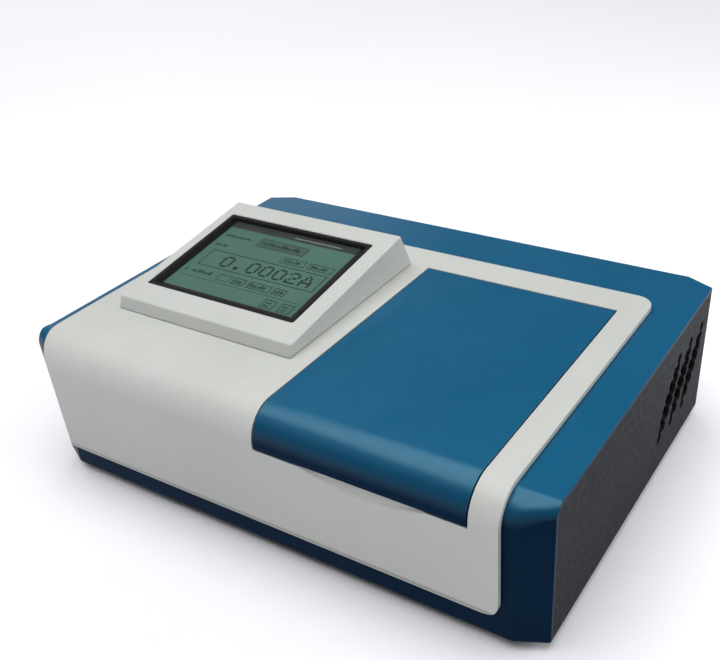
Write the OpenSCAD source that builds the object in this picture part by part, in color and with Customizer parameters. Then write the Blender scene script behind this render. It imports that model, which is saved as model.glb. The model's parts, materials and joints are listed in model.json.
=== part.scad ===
// Benchtop spectrophotometer with a hinged sample lid and a tilted touch screen.
// Millimetres. X runs to the right, Y to the rear, Z up from the table. The origin is the
// middle of the footprint, on the table.

/* [Body] */
// Width over the two side panels
body_w = 460; // [440:5:480]
// Depth of the blue body, without the raised front cover
body_d = 330; // [325:5:340]
// Height of the blue body above the top of the feet
body_h = 118; // [114:1:124]
// Height of the rubber feet under the tray
foot_h = 8; // [6:1:14]
// Radius of the long rounded edge between the front and the top
edge_r = 21; // [18:1:24]
// Sheet thickness of the outer shell and the side panels
wall = 3; // [2.5:0.5:3.5]

/* [Front cover] */
// How far the white cover stands proud of the blue body
cover_t = 5; // [4.5:0.25:5.5]
// Bare strip of the blue body left of the white cover
cover_left = 13; // [10:1:16]
// Bare strip of the blue body right of the white cover
cover_right = 31; // [30:1:34]
// Bare strip of the blue body behind the white cover
cover_rear = 58; // [56:1:60]
// Bare strip of the blue body below the white cover
cover_foot = 20; // [14:1:24]

/* [Sample lid] */
// Left edge of the lid, from the middle of the body
lid_left = 7; // [5:1:8]
// Width of the lid
lid_w = 170; // [168:0.5:171]
// Distance from the front of the blue body to the rear edge of the lid
lid_d = 241; // [240:0.5:242]
// Height of the lid's lower front edge above the feet
lid_drop = 94; // [92:1:97]
// Gap between the lid and the cover round it
lid_gap = 1; // [0.8:0.1:1.2]

/* [Display] */
// Width of the tilted display housing
display_w = 179; // [176:1:182]
// Height of its short front lip
display_lip = 10.8; // [10:0.2:13]
// Height of its rear edge above the white cover
display_top = 32.5; // [31:0.5:36]

/* [Hidden] */

// Levels and faces of the body
half_w = body_w / 2;
front_y = cover_t - (body_d + cover_t) / 2;
rear_y = front_y + body_d;
floor_z = foot_h;
top_z = floor_z + body_h;
cover_z = top_z + cover_t;
tray_t = 2;
deck_z = top_z - wall;
inner_floor = floor_z + tray_t;
// Plan corners: a shallow chamfer, longer along X than along Y
corner_x = 23;
corner_y = 11;
corner_len = sqrt(corner_x * corner_x + corner_y * corner_y);
arc_steps = 18;
corner_steps = 8;

// Colours
blue = "#1f6090";
white = "#d2d5d2";
dark_grey = "#4a4b4d";
black = "#1c1c1e";
rubber_black = "#161616";
steel = "#b9bcc0";
aluminium = "#c4c7ca";
brass = "#c7a34c";
board_green = "#1e6b3a";
glass = "#9fb8c4";

// Front cover
cover_x0 = -half_w + cover_left;
cover_x1 = half_w - cover_right;
cover_y1 = rear_y - cover_rear;
cover_z0 = floor_z + cover_foot;
cover_corner = 15;
cover_bevel_h = 6.5;
cover_bevel = 2.5;
// The front left corner of the cover follows the body's chamfer
cover_cut_x = 16;
cover_cut_y = 36;
// Shadow gap under the rim of the cover
gap_h = 1;
gap_in = 1.5;

// Lid
lid_x0 = lid_left;
lid_x1 = lid_left + lid_w;
lid_mid = (lid_x0 + lid_x1) / 2;
lid_y1 = front_y + lid_d;
lid_z0 = floor_z + lid_drop;
lid_skin = 2;
lid_rim = 2.5;
lid_air = 0.5;
lid_bevel = 1.5;
scoop_x = lid_mid + 5;
scoop_half = 52;
scoop_sag = 9.5;
scoop_r = (scoop_half * scoop_half + scoop_sag * scoop_sag) / (2 * scoop_sag);
scoop_depth = 4;

// Lid hinge
hinge_y = lid_y1 + 24;
hinge_z = top_z - 5;
hinge_pin_r = 2.5;
running = 0.05;
arm_w = 8;
arm_in = 28.6;
arm_out = 34.6;
foot_l = 11;
arm_inset = 19;
arm_xs = [lid_x0 + arm_inset, lid_x1 - arm_inset];
hub_r = 4.5;
ear_gap = 1;
ear_t = 2;
notch_half = 9.5;

// Display housing: a wedge with a front lip that leans back and a window in its tilted top
display_x0 = -190;
display_y0 = front_y + 66.5;
display_y1 = display_y0 + 161;
display_rear = 15;
display_wall = 3;
lip_lean = 4;
display_mid = display_x0 + display_w / 2;
display_tilt = atan((display_top - display_lip) / (display_y1 - display_y0 - lip_lean));
window_w = 154;
window_d = 116;
window_x = -3;
window_y = 23;
bezel_w = 4.5;
bezel_top = -0.6;
glass_z1 = -4;
glass_z0 = -5.4;
lcd_t = 6;
board_t = 1.6;

// Sample chamber, beam and cuvette carriage
plate_z = 20;
plate_t = 8;
bench_z = plate_z + plate_t;
beam_z = 70;
beam_y = -10;
beam_r = 5;
chamber_x0 = lid_mid - 56;
chamber_x1 = lid_mid + 56;
chamber_y0 = -86;
chamber_y1 = 60;
chamber_l = chamber_y1 - chamber_y0;
chamber_wall = 2.5;
chamber_mid = (chamber_x0 + chamber_x1) / 2;
places = 4;
pitch = 17;
socket = 12.7;
carriage_w = 21;
carriage_l = places * pitch + 4;
carriage_y0 = beam_y - pitch / 2 - 2;
rod_z = bench_z + 16;
rod_r = 3;
rod_x = 17;
screw_r = 3;
trap_gap = 1.5;

// Monochromator
mono_x0 = -120;
mono_x1 = 20;
mono_y0 = -70;
mono_y1 = 90;
mono_top = 104;
mono_wall = 4;
mono_floor = bench_z + mono_wall;
slit_x = -90;
grating_x = -45;
grating_y = 35;
stage_shaft_r = 4;
wheel_r = 20;
worm_r = 5;
worm_y = grating_y + wheel_r + worm_r + 0.6;
worm_z = 49;
filter_x = slit_x + 22;
filter_y = 78;
filter_r = 30;
filter_holes = [for (a = [0 : 60 : 300]) [filter_x - 22 * cos(a), beam_z - 22 * sin(a)]];

// Lamp
lamp_x0 = slit_x - 38;
lamp_x1 = slit_x + 38;
lamp_y0 = mono_y1 + 1;
lamp_y1 = 150;
lamp_mid_y = 118;

// Rear panel and what it carries
panel_t = 1.5;
screw_hole = 1.7;
panel_y = rear_y - 5;
fan_x = 110;
fan_z = 64;
fan_size = 80;
fan_hole = 37.5;
fan_pitch = 71.5;
fan_depth = 25;
inlet_x = -170;
inlet_z = 52;
rocker_x = -136.5;
rocker_z = 52;
rocker_w = 13;
rocker_h = 19;
rocker_tilt = 9;
port_z = 52;
usb_x = -20;
serial_x = 25;
panel_screws = [for (x = [-half_w + 32, -90, 45, half_w - 32], z = [floor_z + 9, deck_z - 7]) [x, z]];
fan_corners = [for (x = [-1, 1], z = [-1, 1]) [fan_x + x * fan_pitch / 2, fan_z + z * fan_pitch / 2]];
inlet_screws = [inlet_x - 20, inlet_x + 20];
inlet_slots = [[inlet_x - 7, inlet_z], [inlet_x, inlet_z + 3], [inlet_x + 7, inlet_z]];

// ---------- shared shapes ----------

function arc(x, y, r, a0, a1, steps) =
    [for (i = [0 : steps]) let (a = a0 + (a1 - a0) * i / steps) [x + r * cos(a), y + r * sin(a)]];

function reversed(points) = [for (i = [len(points) - 1 : -1 : 0]) points[i]];

// Front curve of the body in Y and Z, grown outwards by o, from the flat top down to height z
curve_z = top_z - edge_r;
function front_curve(o, z) =
    z < curve_z
    ? concat(arc(front_y + edge_r, curve_z, edge_r + o, 90, 180, arc_steps), [[front_y - o, z]])
    : arc(front_y + edge_r, curve_z, edge_r + o, 90, 180 - asin((z - curve_z) / (edge_r + o)), arc_steps);
function curve_end(o, z) = front_curve(o, z)[len(front_curve(o, z)) - 1];

// Side outline of the body, grown outwards by o, from z0 up and back to y1
function side_outline(o, z0, y1) = concat([[y1, z0], [y1, top_z + o]], front_curve(o, z0));

// Plan outline of the body with its four chamfers, grown outwards by o
function plan_corner(o) = [
    [half_w - corner_x + o * (corner_len - corner_x) / corner_y, front_y - o],
    [half_w + o, front_y + corner_y + o * (corner_y - corner_len) / corner_x]];

module along_x(x0, x1) {
    translate([x0, 0, 0]) rotate([90, 0, 90]) linear_extrude(x1 - x0) children();
}

module slab(o, x0, x1, z0, y1) {
    along_x(x0, x1) polygon(side_outline(o, z0, y1));
}

module plan(o) {
    c = plan_corner(o);
    mid_y = (front_y + rear_y) / 2;
    flip = [for (p = c) [p[0], 2 * mid_y - p[1]]];
    polygon([c[0], c[1], flip[1], flip[0],
        [-flip[0][0], flip[0][1]], [-flip[1][0], flip[1][1]], [-c[1][0], c[1][1]], [-c[0][0], c[0][1]]]);
}

module box(x0, x1, y0, y1, z0, z1) {
    translate([x0, y0, z0]) cube([x1 - x0, y1 - y0, z1 - z0]);
}

module rod_along_x(x, y, z, r, l, fn = 48) {
    translate([x, y, z]) rotate([0, 90, 0]) cylinder(h = l, r = r, $fn = fn);
}

module rod_along_y(x, y, z, r, l, fn = 48) {
    translate([x, y, z]) rotate([-90, 0, 0]) cylinder(h = l, r = r, $fn = fn);
}

module rounded_box_2d(x0, x1, y0, y1, r) {
    polygon(concat(
        arc(x1 - r, y1 - r, r, 0, 90, corner_steps),
        arc(x0 + r, y1 - r, r, 90, 180, corner_steps),
        arc(x0 + r, y0 + r, r, 180, 270, corner_steps),
        arc(x1 - r, y0 + r, r, 270, 360, corner_steps)));
}

module ring_box(x0, x1, y0, y1, z0, z1, t) {
    difference() {
        box(x0, x1, y0, y1, z0, z1);
        box(x0 + t, x1 - t, y0 + t, y1 - t, z0 - 1, z1 + 1);
    }
}

// Pan-head screw with a cross slot, head upwards at the origin
module screw(r, l) {
    difference() {
        union() {
            translate([0, 0, -l]) cylinder(h = l, r = r, $fn = 24);
            cylinder(h = r * 0.9, r = r * 1.9, $fn = 32);
        }
        for (a = [0, 90]) rotate([0, 0, a])
            translate([-r * 1.1, -r * 0.2, r * 0.4]) cube([r * 2.2, r * 0.4, r]);
    }
}

// ---------- enclosure ----------

foot_xs = [-half_w + 42, half_w - 42];
foot_ys = [front_y + 34, rear_y - 34];

module base_tray() {
    flange_h = 15;
    flange_gap = wall + 0.5;
    flange_z = floor_z + flange_h;
    slot_l = 46;
    side_end = rear_y - corner_y - 8;
    rear_half = half_w - corner_x - 4;
    rear_face = panel_y - panel_t;
    color(dark_grey) difference() {
        union() {
            translate([0, 0, floor_z]) linear_extrude(tray_t) plan(-1);
            difference() {
                translate([0, 0, floor_z]) linear_extrude(flange_h) difference() {
                    plan(-flange_gap);
                    plan(-flange_gap - tray_t);
                }
                box(-half_w, half_w, side_end, rear_y, floor_z - 1, flange_z + 1);
            }
            box(-rear_half, rear_half, rear_face - tray_t, rear_face, floor_z, flange_z);
        }
        for (p = panel_screws)
            rod_along_y(p[0], rear_face - tray_t - 1, p[1], screw_hole, tray_t + 2, 24);
        for (x = [-150, -70, 70, 150], i = [-4 : 4])
            box(x - slot_l / 2, x + slot_l / 2, i * 9 - 1.5, i * 9 + 1.5, floor_z - 1, inner_floor + 1);
        for (x = foot_xs, y = foot_ys)
            translate([x, y, floor_z - 1]) cylinder(h = tray_t + 2, r = 2.2, $fn = 32);
    }
}

// The blue shell wraps the front, the two front chamfers and the top
module body_shell() {
    shell_z = floor_z + tray_t;
    inner_y = plan_corner(-wall)[0][1];
    side_x = half_w + 1;
    run_out = front_y + corner_y + wall * corner_len / corner_x + corner_y / corner_x;
    c = plan_corner(-wall)[0];
    color(blue) difference() {
        intersection() {
            slab(0, -half_w, half_w, shell_z, rear_y);
            translate([0, 0, shell_z - 1]) linear_extrude(body_h + 2) plan(0);
        }
        intersection() {
            slab(-wall, -side_x, side_x, shell_z - 2, rear_y + 1);
            translate([0, 0, shell_z - 2]) linear_extrude(body_h)
                polygon([c, [side_x, run_out], [side_x, rear_y + 2],
                    [-side_x, rear_y + 2], [-side_x, run_out], [-c[0], inner_y]]);
        }
        box(chamber_x0 + chamber_wall, chamber_x1 - chamber_wall, chamber_y0 + chamber_wall,
            chamber_y1 - chamber_wall, deck_z - 1, top_z + 1);
        for (x = arm_xs)
            box(x - notch_half, x + notch_half, hinge_y - arm_out - 2, hinge_y + 6, deck_z - 1, top_z + 1);
        display_well(deck_z - 1, top_z + 1);
    }
}

// Hole under the display housing for the screen's electronics
module display_well(z0, z1) {
    box(display_x0 + 11, display_x0 + display_w - 11, display_y0 + 22, display_y0 + 140, z0, z1);
}

// Three slanted columns of louvre slots. The slots of a column run into each other, and are
// widest half way up, so that each column is a leaf with a zigzag edge
vent_columns = 3;
vent_rows = 8;
vent_pitch = 8.2;
vent_h = vent_pitch + 0.4;
function vent_half(i) = 3 + 9.5 * sin(180 * (i + 0.5) / vent_rows);
function vent_place(c, i) = [
    front_y + 229 + c * 28 + 32 * (i / (vent_rows - 1) - 0.5),
    floor_z + 34 + i * vent_pitch];

module vent_slots(x0, x1) {
    for (c = [0 : vent_columns - 1], i = [0 : vent_rows - 1]) {
        p = vent_place(c, i);
        w = vent_half(i);
        flat = w - 2.5;
        h = vent_h / 2;
        along_x(x0, x1) translate(p)
            polygon([[-w, 0], [-flat, -h], [flat, -h], [w, 0], [flat, h], [-flat, h]]);
    }
}

module side_panel(sign) {
    panel_z = floor_z + tray_t;
    front_edge = front_y + corner_y + wall * corner_len / corner_x;
    rear_edge = rear_y - corner_y;
    x0 = sign > 0 ? half_w - wall : -half_w;
    color(dark_grey) difference() {
        union() {
            intersection() {
                slab(-wall, x0, x0 + wall, panel_z, rear_edge);
                box(x0 - 1, x0 + wall + 1, front_edge, rear_edge, panel_z, top_z);
            }
            for (c = [0 : vent_columns - 1], i = [0 : vent_rows - 1]) louvre(sign, c, i);
        }
        vent_slots(x0 - 1, x0 + wall + 1);
    }
}

// A blade behind each vent slot keeps fingers and light out
module louvre(sign, c, i) {
    p = vent_place(c, i);
    half = vent_half(i) + 1;
    x0 = sign > 0 ? half_w - wall - 1.5 : -half_w + wall;
    box(x0, x0 + 1.5, p[0] - half, p[0] + half, p[1] - 1, p[1] + 1);
}

module side_panel_left() {
    side_panel(-1);
}

module side_panel_right() {
    side_panel(1);
}

// Rear panel with its two angled ends
module rear_panel() {
    z0 = floor_z + tray_t;
    end_x = half_w - corner_x;
    inside = panel_y - panel_t;
    cut = panel_t + 2;
    color(dark_grey) difference() {
        union() {
            box(-end_x, end_x, inside, panel_y, z0, deck_z);
            for (s = [-1, 1]) translate([0, 0, z0]) linear_extrude(deck_z - z0)
                polygon([[s * (end_x - panel_t), inside], [s * (end_x - panel_t), rear_y],
                    [s * end_x, rear_y], [s * half_w, rear_y - corner_y],
                    [s * (half_w - wall), rear_y - corner_y],
                    [s * (half_w - wall), rear_y - corner_y - 0.3],
                    [s * end_x, rear_y - 1.7], [s * end_x, inside]]);
        }
        rod_along_y(fan_x, inside - 1, fan_z, fan_hole, cut, 96);
        for (p = fan_corners) rod_along_y(p[0], inside - 1, p[1], 2.2, cut, 24);
        box(inlet_x - 14, inlet_x + 14, inside - 1, panel_y + 1, inlet_z - 10.5, inlet_z + 10.5);
        for (x = inlet_screws) rod_along_y(x, inside - 1, inlet_z, 1.8, cut, 24);
        box(rocker_x - rocker_w / 2, rocker_x + rocker_w / 2, inside - 1, panel_y + 1,
            rocker_z - rocker_h / 2, rocker_z + rocker_h / 2);
        box(usb_x - 6.5, usb_x + 6.5, inside - 1, panel_y + 1, port_z - 6, port_z + 6);
        box(serial_x - 10, serial_x + 10, inside - 1, panel_y + 1, port_z - 6, port_z + 6);
        for (p = panel_screws) rod_along_y(p[0], inside - 1, p[1], screw_hole, cut, 24);
        for (i = [0 : 7]) box(-98 + i * 7, -95 + i * 7, inside - 1, panel_y + 1, 80, 108);
    }
}

module rear_screws() {
    color(steel) union() {
        for (p = panel_screws) translate([p[0], panel_y, p[1]]) rotate([-90, 0, 0]) screw(1.6, 6);
        for (p = fan_corners) translate([p[0], panel_y + 1.6, p[1]]) rotate([-90, 0, 0]) screw(2, 8);
        for (x = inlet_screws) translate([x, panel_y + 2, inlet_z]) rotate([-90, 0, 0]) screw(1.6, 8);
    }
}

// Outline of the cover, drawn in by i all round its rim
module cover_block(i) {
    o = cover_t;
    r = cover_corner - i;
    front = front_y - o;
    outline = concat(
        [[cover_y1 - i, cover_z0 + i], [cover_y1 - i, cover_z]],
        front_curve(o, cover_z0 + cover_bevel_h),
        [[front + cover_bevel, cover_z0 + i]]);
    top = concat(
        arc(cover_x1 - i - r, cover_y1 - i - r, r, 0, 90, corner_steps),
        arc(cover_x0 + i + r, cover_y1 - i - r, r, 90, 180, corner_steps),
        [for (k = [0 : corner_steps]) [
            cover_x0 + i + cover_cut_x * (1 - cos(90 * k / corner_steps)),
            front + cover_cut_y * (1 - sin(90 * k / corner_steps)) - 1]],
        [[cover_x1 - i, front - 1]]);
    intersection() {
        along_x(cover_x0, cover_x1) polygon(outline);
        translate([0, rear_y, 0]) rotate([90, 0, 0]) linear_extrude(body_d + 20)
            rounded_box_2d(cover_x0 + i, cover_x1 - i, cover_z0 + i, cover_z + 60, r);
        translate([0, 0, floor_z]) linear_extrude(body_h + 20) polygon(top);
    }
}

module front_cover() {
    color(white) difference() {
        cover_block(0);
        slab(0, -half_w, half_w, floor_z, rear_y);
        difference() {
            slab(gap_h, -half_w, half_w, floor_z, rear_y);
            cover_block(gap_in);
        }
        box(lid_x0 - lid_gap, lid_x1 + lid_gap, front_y - 20, lid_y1 + lid_gap,
            lid_z0 - lid_gap, cover_z + 1);
        translate([scoop_x, front_y - cover_t - 0.01, lid_z0 - lid_gap + scoop_r - scoop_sag])
            rotate([-90, 0, 0]) cylinder(h = scoop_depth, r1 = scoop_r, r2 = scoop_r - 7, $fn = 180);
        display_well(top_z - 1, cover_z + 1);
    }
}

module rubber_feet() {
    color(rubber_black) for (x = foot_xs, y = foot_ys) translate([x, y, 0]) difference() {
        union() {
            cylinder(h = 1.5, r1 = 11, r2 = 12.5, $fn = 64);
            translate([0, 0, 1.5]) cylinder(h = foot_h - 1.5, r = 12.5, $fn = 64);
        }
        translate([0, 0, -1]) cylinder(h = foot_h / 2 + 1, r = 5, $fn = 48);
        cylinder(h = foot_h + 1, r = 2.2, $fn = 32);
    }
}

module foot_screws() {
    color(steel) for (x = foot_xs, y = foot_ys)
        translate([x, y, foot_h / 2]) rotate([180, 0, 0]) screw(2.1, foot_h / 2 + tray_t + 4);
}

// ---------- display ----------

module tilted() {
    translate([display_mid, display_y0 + lip_lean, cover_z + display_lip])
        rotate([display_tilt, 0, 0]) children();
}

// A box in the tilted frame, round the window and grown by g on all four sides
module window_box(g, z0, z1) {
    half = window_w / 2 + g;
    box(window_x - half, window_x + half, window_y - g, window_y + window_d + g, z0, z1);
}

module display_housing() {
    w = display_wall;
    rise = tan(display_tilt);
    x1 = display_x0 + display_w;
    toe = display_y1 + display_rear;
    outer = [
        [display_y0, cover_z],
        [display_y0 + lip_lean, cover_z + display_lip],
        [display_y1, cover_z + display_top],
        [toe, cover_z]];
    inner = [
        [display_y0 + w, cover_z - 1],
        [display_y0 + lip_lean + w, cover_z + display_lip - w + w * rise],
        [display_y1 - 2, cover_z + display_top - w - 2 * rise],
        [toe - w - 1, cover_z - 1]];
    color(white) difference() {
        along_x(display_x0, x1) polygon(outer);
        along_x(display_x0 + w, x1 - w) polygon(inner);
        tilted() window_box(0, -10, 5);
    }
}

// Black frame that fills the rim of the window and holds the glass from above
module display_bezel() {
    color(black) tilted() difference() {
        union() {
            window_box(-0.15, glass_z0 - 1, bezel_top);
            window_box(4, glass_z0 - 1, -3.1);
        }
        window_box(-bezel_w, glass_z0 - 2, 1);
        window_box(-1, glass_z0 - 2, glass_z1);
    }
}

module touch_panel() {
    color(glass) tilted() window_box(-1.1, glass_z0, glass_z1);
}

module lcd_module() {
    z = glass_z0 - lcd_t;
    color(aluminium) tilted() difference() {
        window_box(-1.1, z, glass_z0);
        for (x = [-1, 1], y = [0, 1])
            translate([window_x + x * (window_w / 2 - 5), window_y + 5 + y * (window_d - 10), z - 1])
                cylinder(h = 2.5, r = 1, $fn = 24);
    }
}

module display_board() {
    z = glass_z0 - lcd_t;
    under = z - board_t;
    color(board_green) tilted() translate([window_x, window_y, 0]) union() {
        box(-66, 66, 10, window_d - 10, under, z);
        box(-50, -30, 30, 50, under - 2, under);
        box(0, 34, 24, 34, under - 5, under);
        for (i = [0 : 4]) box(-20 + i * 12, -14 + i * 12, 60, 64, under - 1.5, under);
    }
}

// ---------- lid ----------

// Rear edge of the lid, bevelled so that it swings clear of the cover
lid_rear = [[lid_y1 - lid_bevel, top_z + lid_air], [lid_y1, cover_z]];

// Section of the lid in Y and Z: a skin with a rim along its front and rear edges
lid_section = concat(
    lid_rear,
    front_curve(cover_t, lid_z0),
    [curve_end(lid_air, lid_z0), curve_end(lid_air, lid_z0 + lid_rim)],
    reversed(front_curve(cover_t - lid_skin, lid_z0 + lid_rim)),
    [[lid_y1 - 4.5, cover_z - lid_skin], [lid_y1 - 4.5, top_z + lid_air]]);

// Section of the lid's two side rims, which fill the whole depth
lid_side_section = concat(lid_rear, front_curve(cover_t, lid_z0), reversed(front_curve(lid_air, lid_z0)));

module sample_lid() {
    color(blue) union() {
        along_x(lid_x0 + lid_rim, lid_x1 - lid_rim) polygon(lid_section);
        along_x(lid_x0, lid_x0 + lid_rim) polygon(lid_side_section);
        along_x(lid_x1 - lid_rim, lid_x1) polygon(lid_side_section);
    }
}

liner_z = top_z + 1.5;
liner_y0 = front_y + edge_r + 12;
liner_y1 = hinge_y - arm_out - 1;

// Black liner under the lid, with a skirt that drops into the chamber mouth as a light trap
module lid_liner() {
    skirt = chamber_wall + trap_gap;
    skirt_h = 10;
    color(black) union() {
        difference() {
            box(lid_x0 + 4, lid_x1 - 4, liner_y0, liner_y1, liner_z, cover_z - lid_skin);
            for (x = arm_xs) box(x - arm_w / 2 - 0.4, x + arm_w / 2 + 0.4,
                hinge_y - arm_out - foot_l - 0.4, liner_y1 + 1, liner_z - 1, cover_z);
        }
        ring_box(chamber_x0 + skirt, chamber_x1 - skirt, chamber_y0 + skirt, chamber_y1 - skirt,
            liner_z - skirt_h, liner_z + 0.5, 2);
    }
}

// Goose-neck arms that carry the lid round the edge of the cover
module hinge_arms() {
    skin = cover_z - lid_skin - hinge_z;
    outline = concat(
        arc(0, 0, arm_out, 180, 270, arc_steps),
        [[3.5, -arm_out], [3.5, -3], [-3.5, -3], [-3.5, -arm_in]],
        arc(0, 0, arm_in, 262, 180, arc_steps),
        [[-arm_in, skin], [-arm_out - foot_l, skin],
        [-arm_out - foot_l, liner_z - hinge_z], [-arm_out, liner_z - hinge_z]]);
    color(steel) for (x = arm_xs) along_x(x - arm_w / 2, x + arm_w / 2)
        translate([hinge_y, hinge_z]) difference() {
            union() {
                polygon(outline);
                circle(r = hub_r, $fn = 48);
            }
            circle(r = hinge_pin_r + running, $fn = 48);
        }
}

module hinge_brackets() {
    color(steel) for (x = arm_xs, s = [-1, 1]) hinge_ear(x, s);
}

module hinge_ear(x, s) {
    inner = arm_w / 2 + ear_gap;
    base = notch_half + 12;
    x0 = min(x + s * inner, x + s * (inner + ear_t));
    f0 = min(x + s * inner, x + s * base);
    difference() {
        union() {
            box(x0, x0 + ear_t, hinge_y - 5, hinge_y + 5, hinge_z - 6, deck_z);
            box(f0, f0 + base - inner, hinge_y - 5, hinge_y + 5, deck_z - 1.5, deck_z);
        }
        rod_along_x(f0 - 1, hinge_y, hinge_z, hinge_pin_r, base - inner + 2);
    }
}

module hinge_pins() {
    l = arm_w + 2 * ear_gap + 2 * ear_t;
    color(steel) for (x = arm_xs) rod_along_x(x - l / 2, hinge_y, hinge_z, hinge_pin_r, l);
}

module lid_seal() {
    seal_w = 5;
    color(rubber_black) ring_box(chamber_x0 - seal_w, chamber_x1 + seal_w, chamber_y0 - seal_w,
        chamber_y1 + seal_w, top_z, liner_z - 0.4, seal_w + chamber_wall - 1);
}

// ---------- optical bench ----------

posts = [
    [mono_x0 + 10, mono_y0 - 12],
    [chamber_x1 + 32, mono_y0 - 12],
    [lamp_x1 + 16, mono_y1 + 8],
    [chamber_x1 + 32, mono_y1 + 8]];

module optics_plate() {
    color(aluminium) difference() {
        union() {
            box(mono_x0 - 12, chamber_x1 + 44, mono_y0 - 22, mono_y1 + 16, plate_z, bench_z);
            box(lamp_x0 - 4, lamp_x1 + 4, mono_y1, lamp_y1 + 2, plate_z, bench_z);
        }
        for (p = posts) translate([p[0], p[1], plate_z - 1]) cylinder(h = plate_t + 2, r = 2.6, $fn = 32);
    }
}

module plate_posts() {
    color(steel) for (p = posts) translate([p[0], p[1], inner_floor]) union() {
        cylinder(h = plate_z - inner_floor, r = 6, $fn = 6);
        cylinder(h = bench_z - inner_floor + 5, r = 2.5, $fn = 24);
        translate([0, 0, bench_z - inner_floor]) cylinder(h = 4, r = 4.5, $fn = 6);
    }
}

module sample_chamber() {
    color(black) difference() {
        box(chamber_x0, chamber_x1, chamber_y0, chamber_y1, bench_z, deck_z);
        box(chamber_x0 + chamber_wall, chamber_x1 - chamber_wall, chamber_y0 + chamber_wall,
            chamber_y1 - chamber_wall, bench_z + chamber_wall, deck_z + 1);
        rod_along_x(chamber_x0 - 1, beam_y, beam_z, 9, chamber_wall + 2);
        rod_along_x(chamber_x1 - chamber_wall - 1, beam_y, beam_z, 9, chamber_wall + 2);
        for (s = [-1, 1]) rod_along_y(chamber_mid + s * rod_x, chamber_y0 - 1, rod_z, rod_r, chamber_l + 2);
        rod_along_y(chamber_mid, chamber_y0 - 1, rod_z, screw_r + running, chamber_l + 2);
    }
}

module entry_lens() {
    color(glass) union() {
        rod_along_x(chamber_x0 - 2, beam_y, beam_z, 8.9, chamber_wall + 1);
        difference() {
            rod_along_x(chamber_x0 - 9, beam_y, beam_z, 8.9, 7.5);
            rod_along_x(chamber_x0 - 10, beam_y, beam_z, 7, 7);
        }
    }
}

module exit_window() {
    color(glass) rod_along_x(chamber_x1 - chamber_wall, beam_y, beam_z, 8.9, chamber_wall);
}

module carriage_rods() {
    color(steel) for (s = [-1, 1])
        rod_along_y(chamber_mid + s * rod_x, chamber_y0, rod_z, rod_r, chamber_l);
}

// Four cuvette sockets in a row, on a foot that slides along two rods
module cuvette_carriage() {
    foot_z0 = rod_z - 6;
    foot_z1 = rod_z + 6;
    top = foot_z1 + 42;
    half = carriage_w / 2;
    foot_half = rod_x + 6;
    hole = socket / 2;
    y1 = carriage_y0 + carriage_l;
    color(black) difference() {
        union() {
            box(chamber_mid - foot_half, chamber_mid + foot_half, carriage_y0, y1, foot_z0, foot_z1);
            box(chamber_mid - half, chamber_mid + half, carriage_y0, y1, foot_z1, top);
        }
        for (i = [0 : places - 1]) {
            y = beam_y + i * pitch;
            box(chamber_mid - hole, chamber_mid + hole, y - hole, y + hole, foot_z1 + 2, top + 1);
            rod_along_x(chamber_mid - half - 1, y, beam_z, beam_r, carriage_w + 2);
        }
        for (s = [-1, 1])
            rod_along_y(chamber_mid + s * rod_x, carriage_y0 - 1, rod_z, rod_r + running, carriage_l + 2);
        rod_along_y(chamber_mid, carriage_y0 - 1, rod_z, screw_r + 1.5, carriage_l + 2);
    }
}

module carriage_nut() {
    color(brass) difference() {
        union() {
            rod_along_y(chamber_mid, carriage_y0 - 3, rod_z, 5.8, 3);
            rod_along_y(chamber_mid, carriage_y0, rod_z, screw_r + 1.5, 10);
        }
        rod_along_y(chamber_mid, carriage_y0 - 4, rod_z, screw_r + running, 16);
    }
}

// Lead screw and the motor's rotor shaft in one
module carriage_screw() {
    color(steel) union() {
        rod_along_y(chamber_mid, chamber_y0 - 2, rod_z, screw_r, chamber_l + 12);
        rod_along_y(chamber_mid, chamber_y0 - 5, rod_z, screw_r + 2, 3);
    }
}

module carriage_motor() {
    color(dark_grey) difference() {
        union() {
            box(chamber_mid - 15, chamber_mid + 15, chamber_y1, chamber_y1 + 2, bench_z, rod_z + 16);
            box(chamber_mid - 14, chamber_mid + 14, chamber_y1 + 2, chamber_y1 + 28, rod_z - 14, rod_z + 14);
        }
        rod_along_y(chamber_mid, chamber_y1 - 1, rod_z, screw_r + running, 12);
    }
}

// ---------- monochromator ----------

module monochromator_box() {
    w = mono_wall;
    color(black) difference() {
        box(mono_x0, mono_x1, mono_y0, mono_y1, bench_z, mono_top);
        box(mono_x0 + w, mono_x1 - w, mono_y0 + w, mono_y1 - w, mono_floor, mono_top + 1);
        rod_along_y(slit_x, mono_y1 - w - 1, beam_z, 8, w + 2);
        rod_along_x(mono_x1 - w - 1, beam_y, beam_z, 6, w + 2);
        translate([grating_x, grating_y, bench_z - 1])
            cylinder(h = w + 2, r = stage_shaft_r + running, $fn = 48);
    }
}

module monochromator_lid() {
    color(black) union() {
        box(mono_x0, mono_x1, mono_y0, mono_y1, mono_top, mono_top + 3);
        ring_box(mono_x0 + mono_wall + 0.5, mono_x1 - mono_wall - 0.5, mono_y0 + mono_wall + 0.5,
            mono_y1 - mono_wall - 0.5, mono_top - 3, mono_top + 0.5, 2);
    }
}

module slit_plates() {
    color(brass) union() {
        difference() {
            rod_along_y(slit_x, mono_y1 - mono_wall, beam_z, 8, 1.5);
            box(slit_x - 0.5, slit_x + 0.5, mono_y1 - 6, mono_y1, beam_z - 5, beam_z + 5);
        }
        difference() {
            rod_along_x(mono_x1 - mono_wall, beam_y, beam_z, 6, 1.5);
            box(mono_x1 - 6, mono_x1, beam_y - 0.5, beam_y + 0.5, beam_z - 4, beam_z + 4);
        }
    }
}

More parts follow.
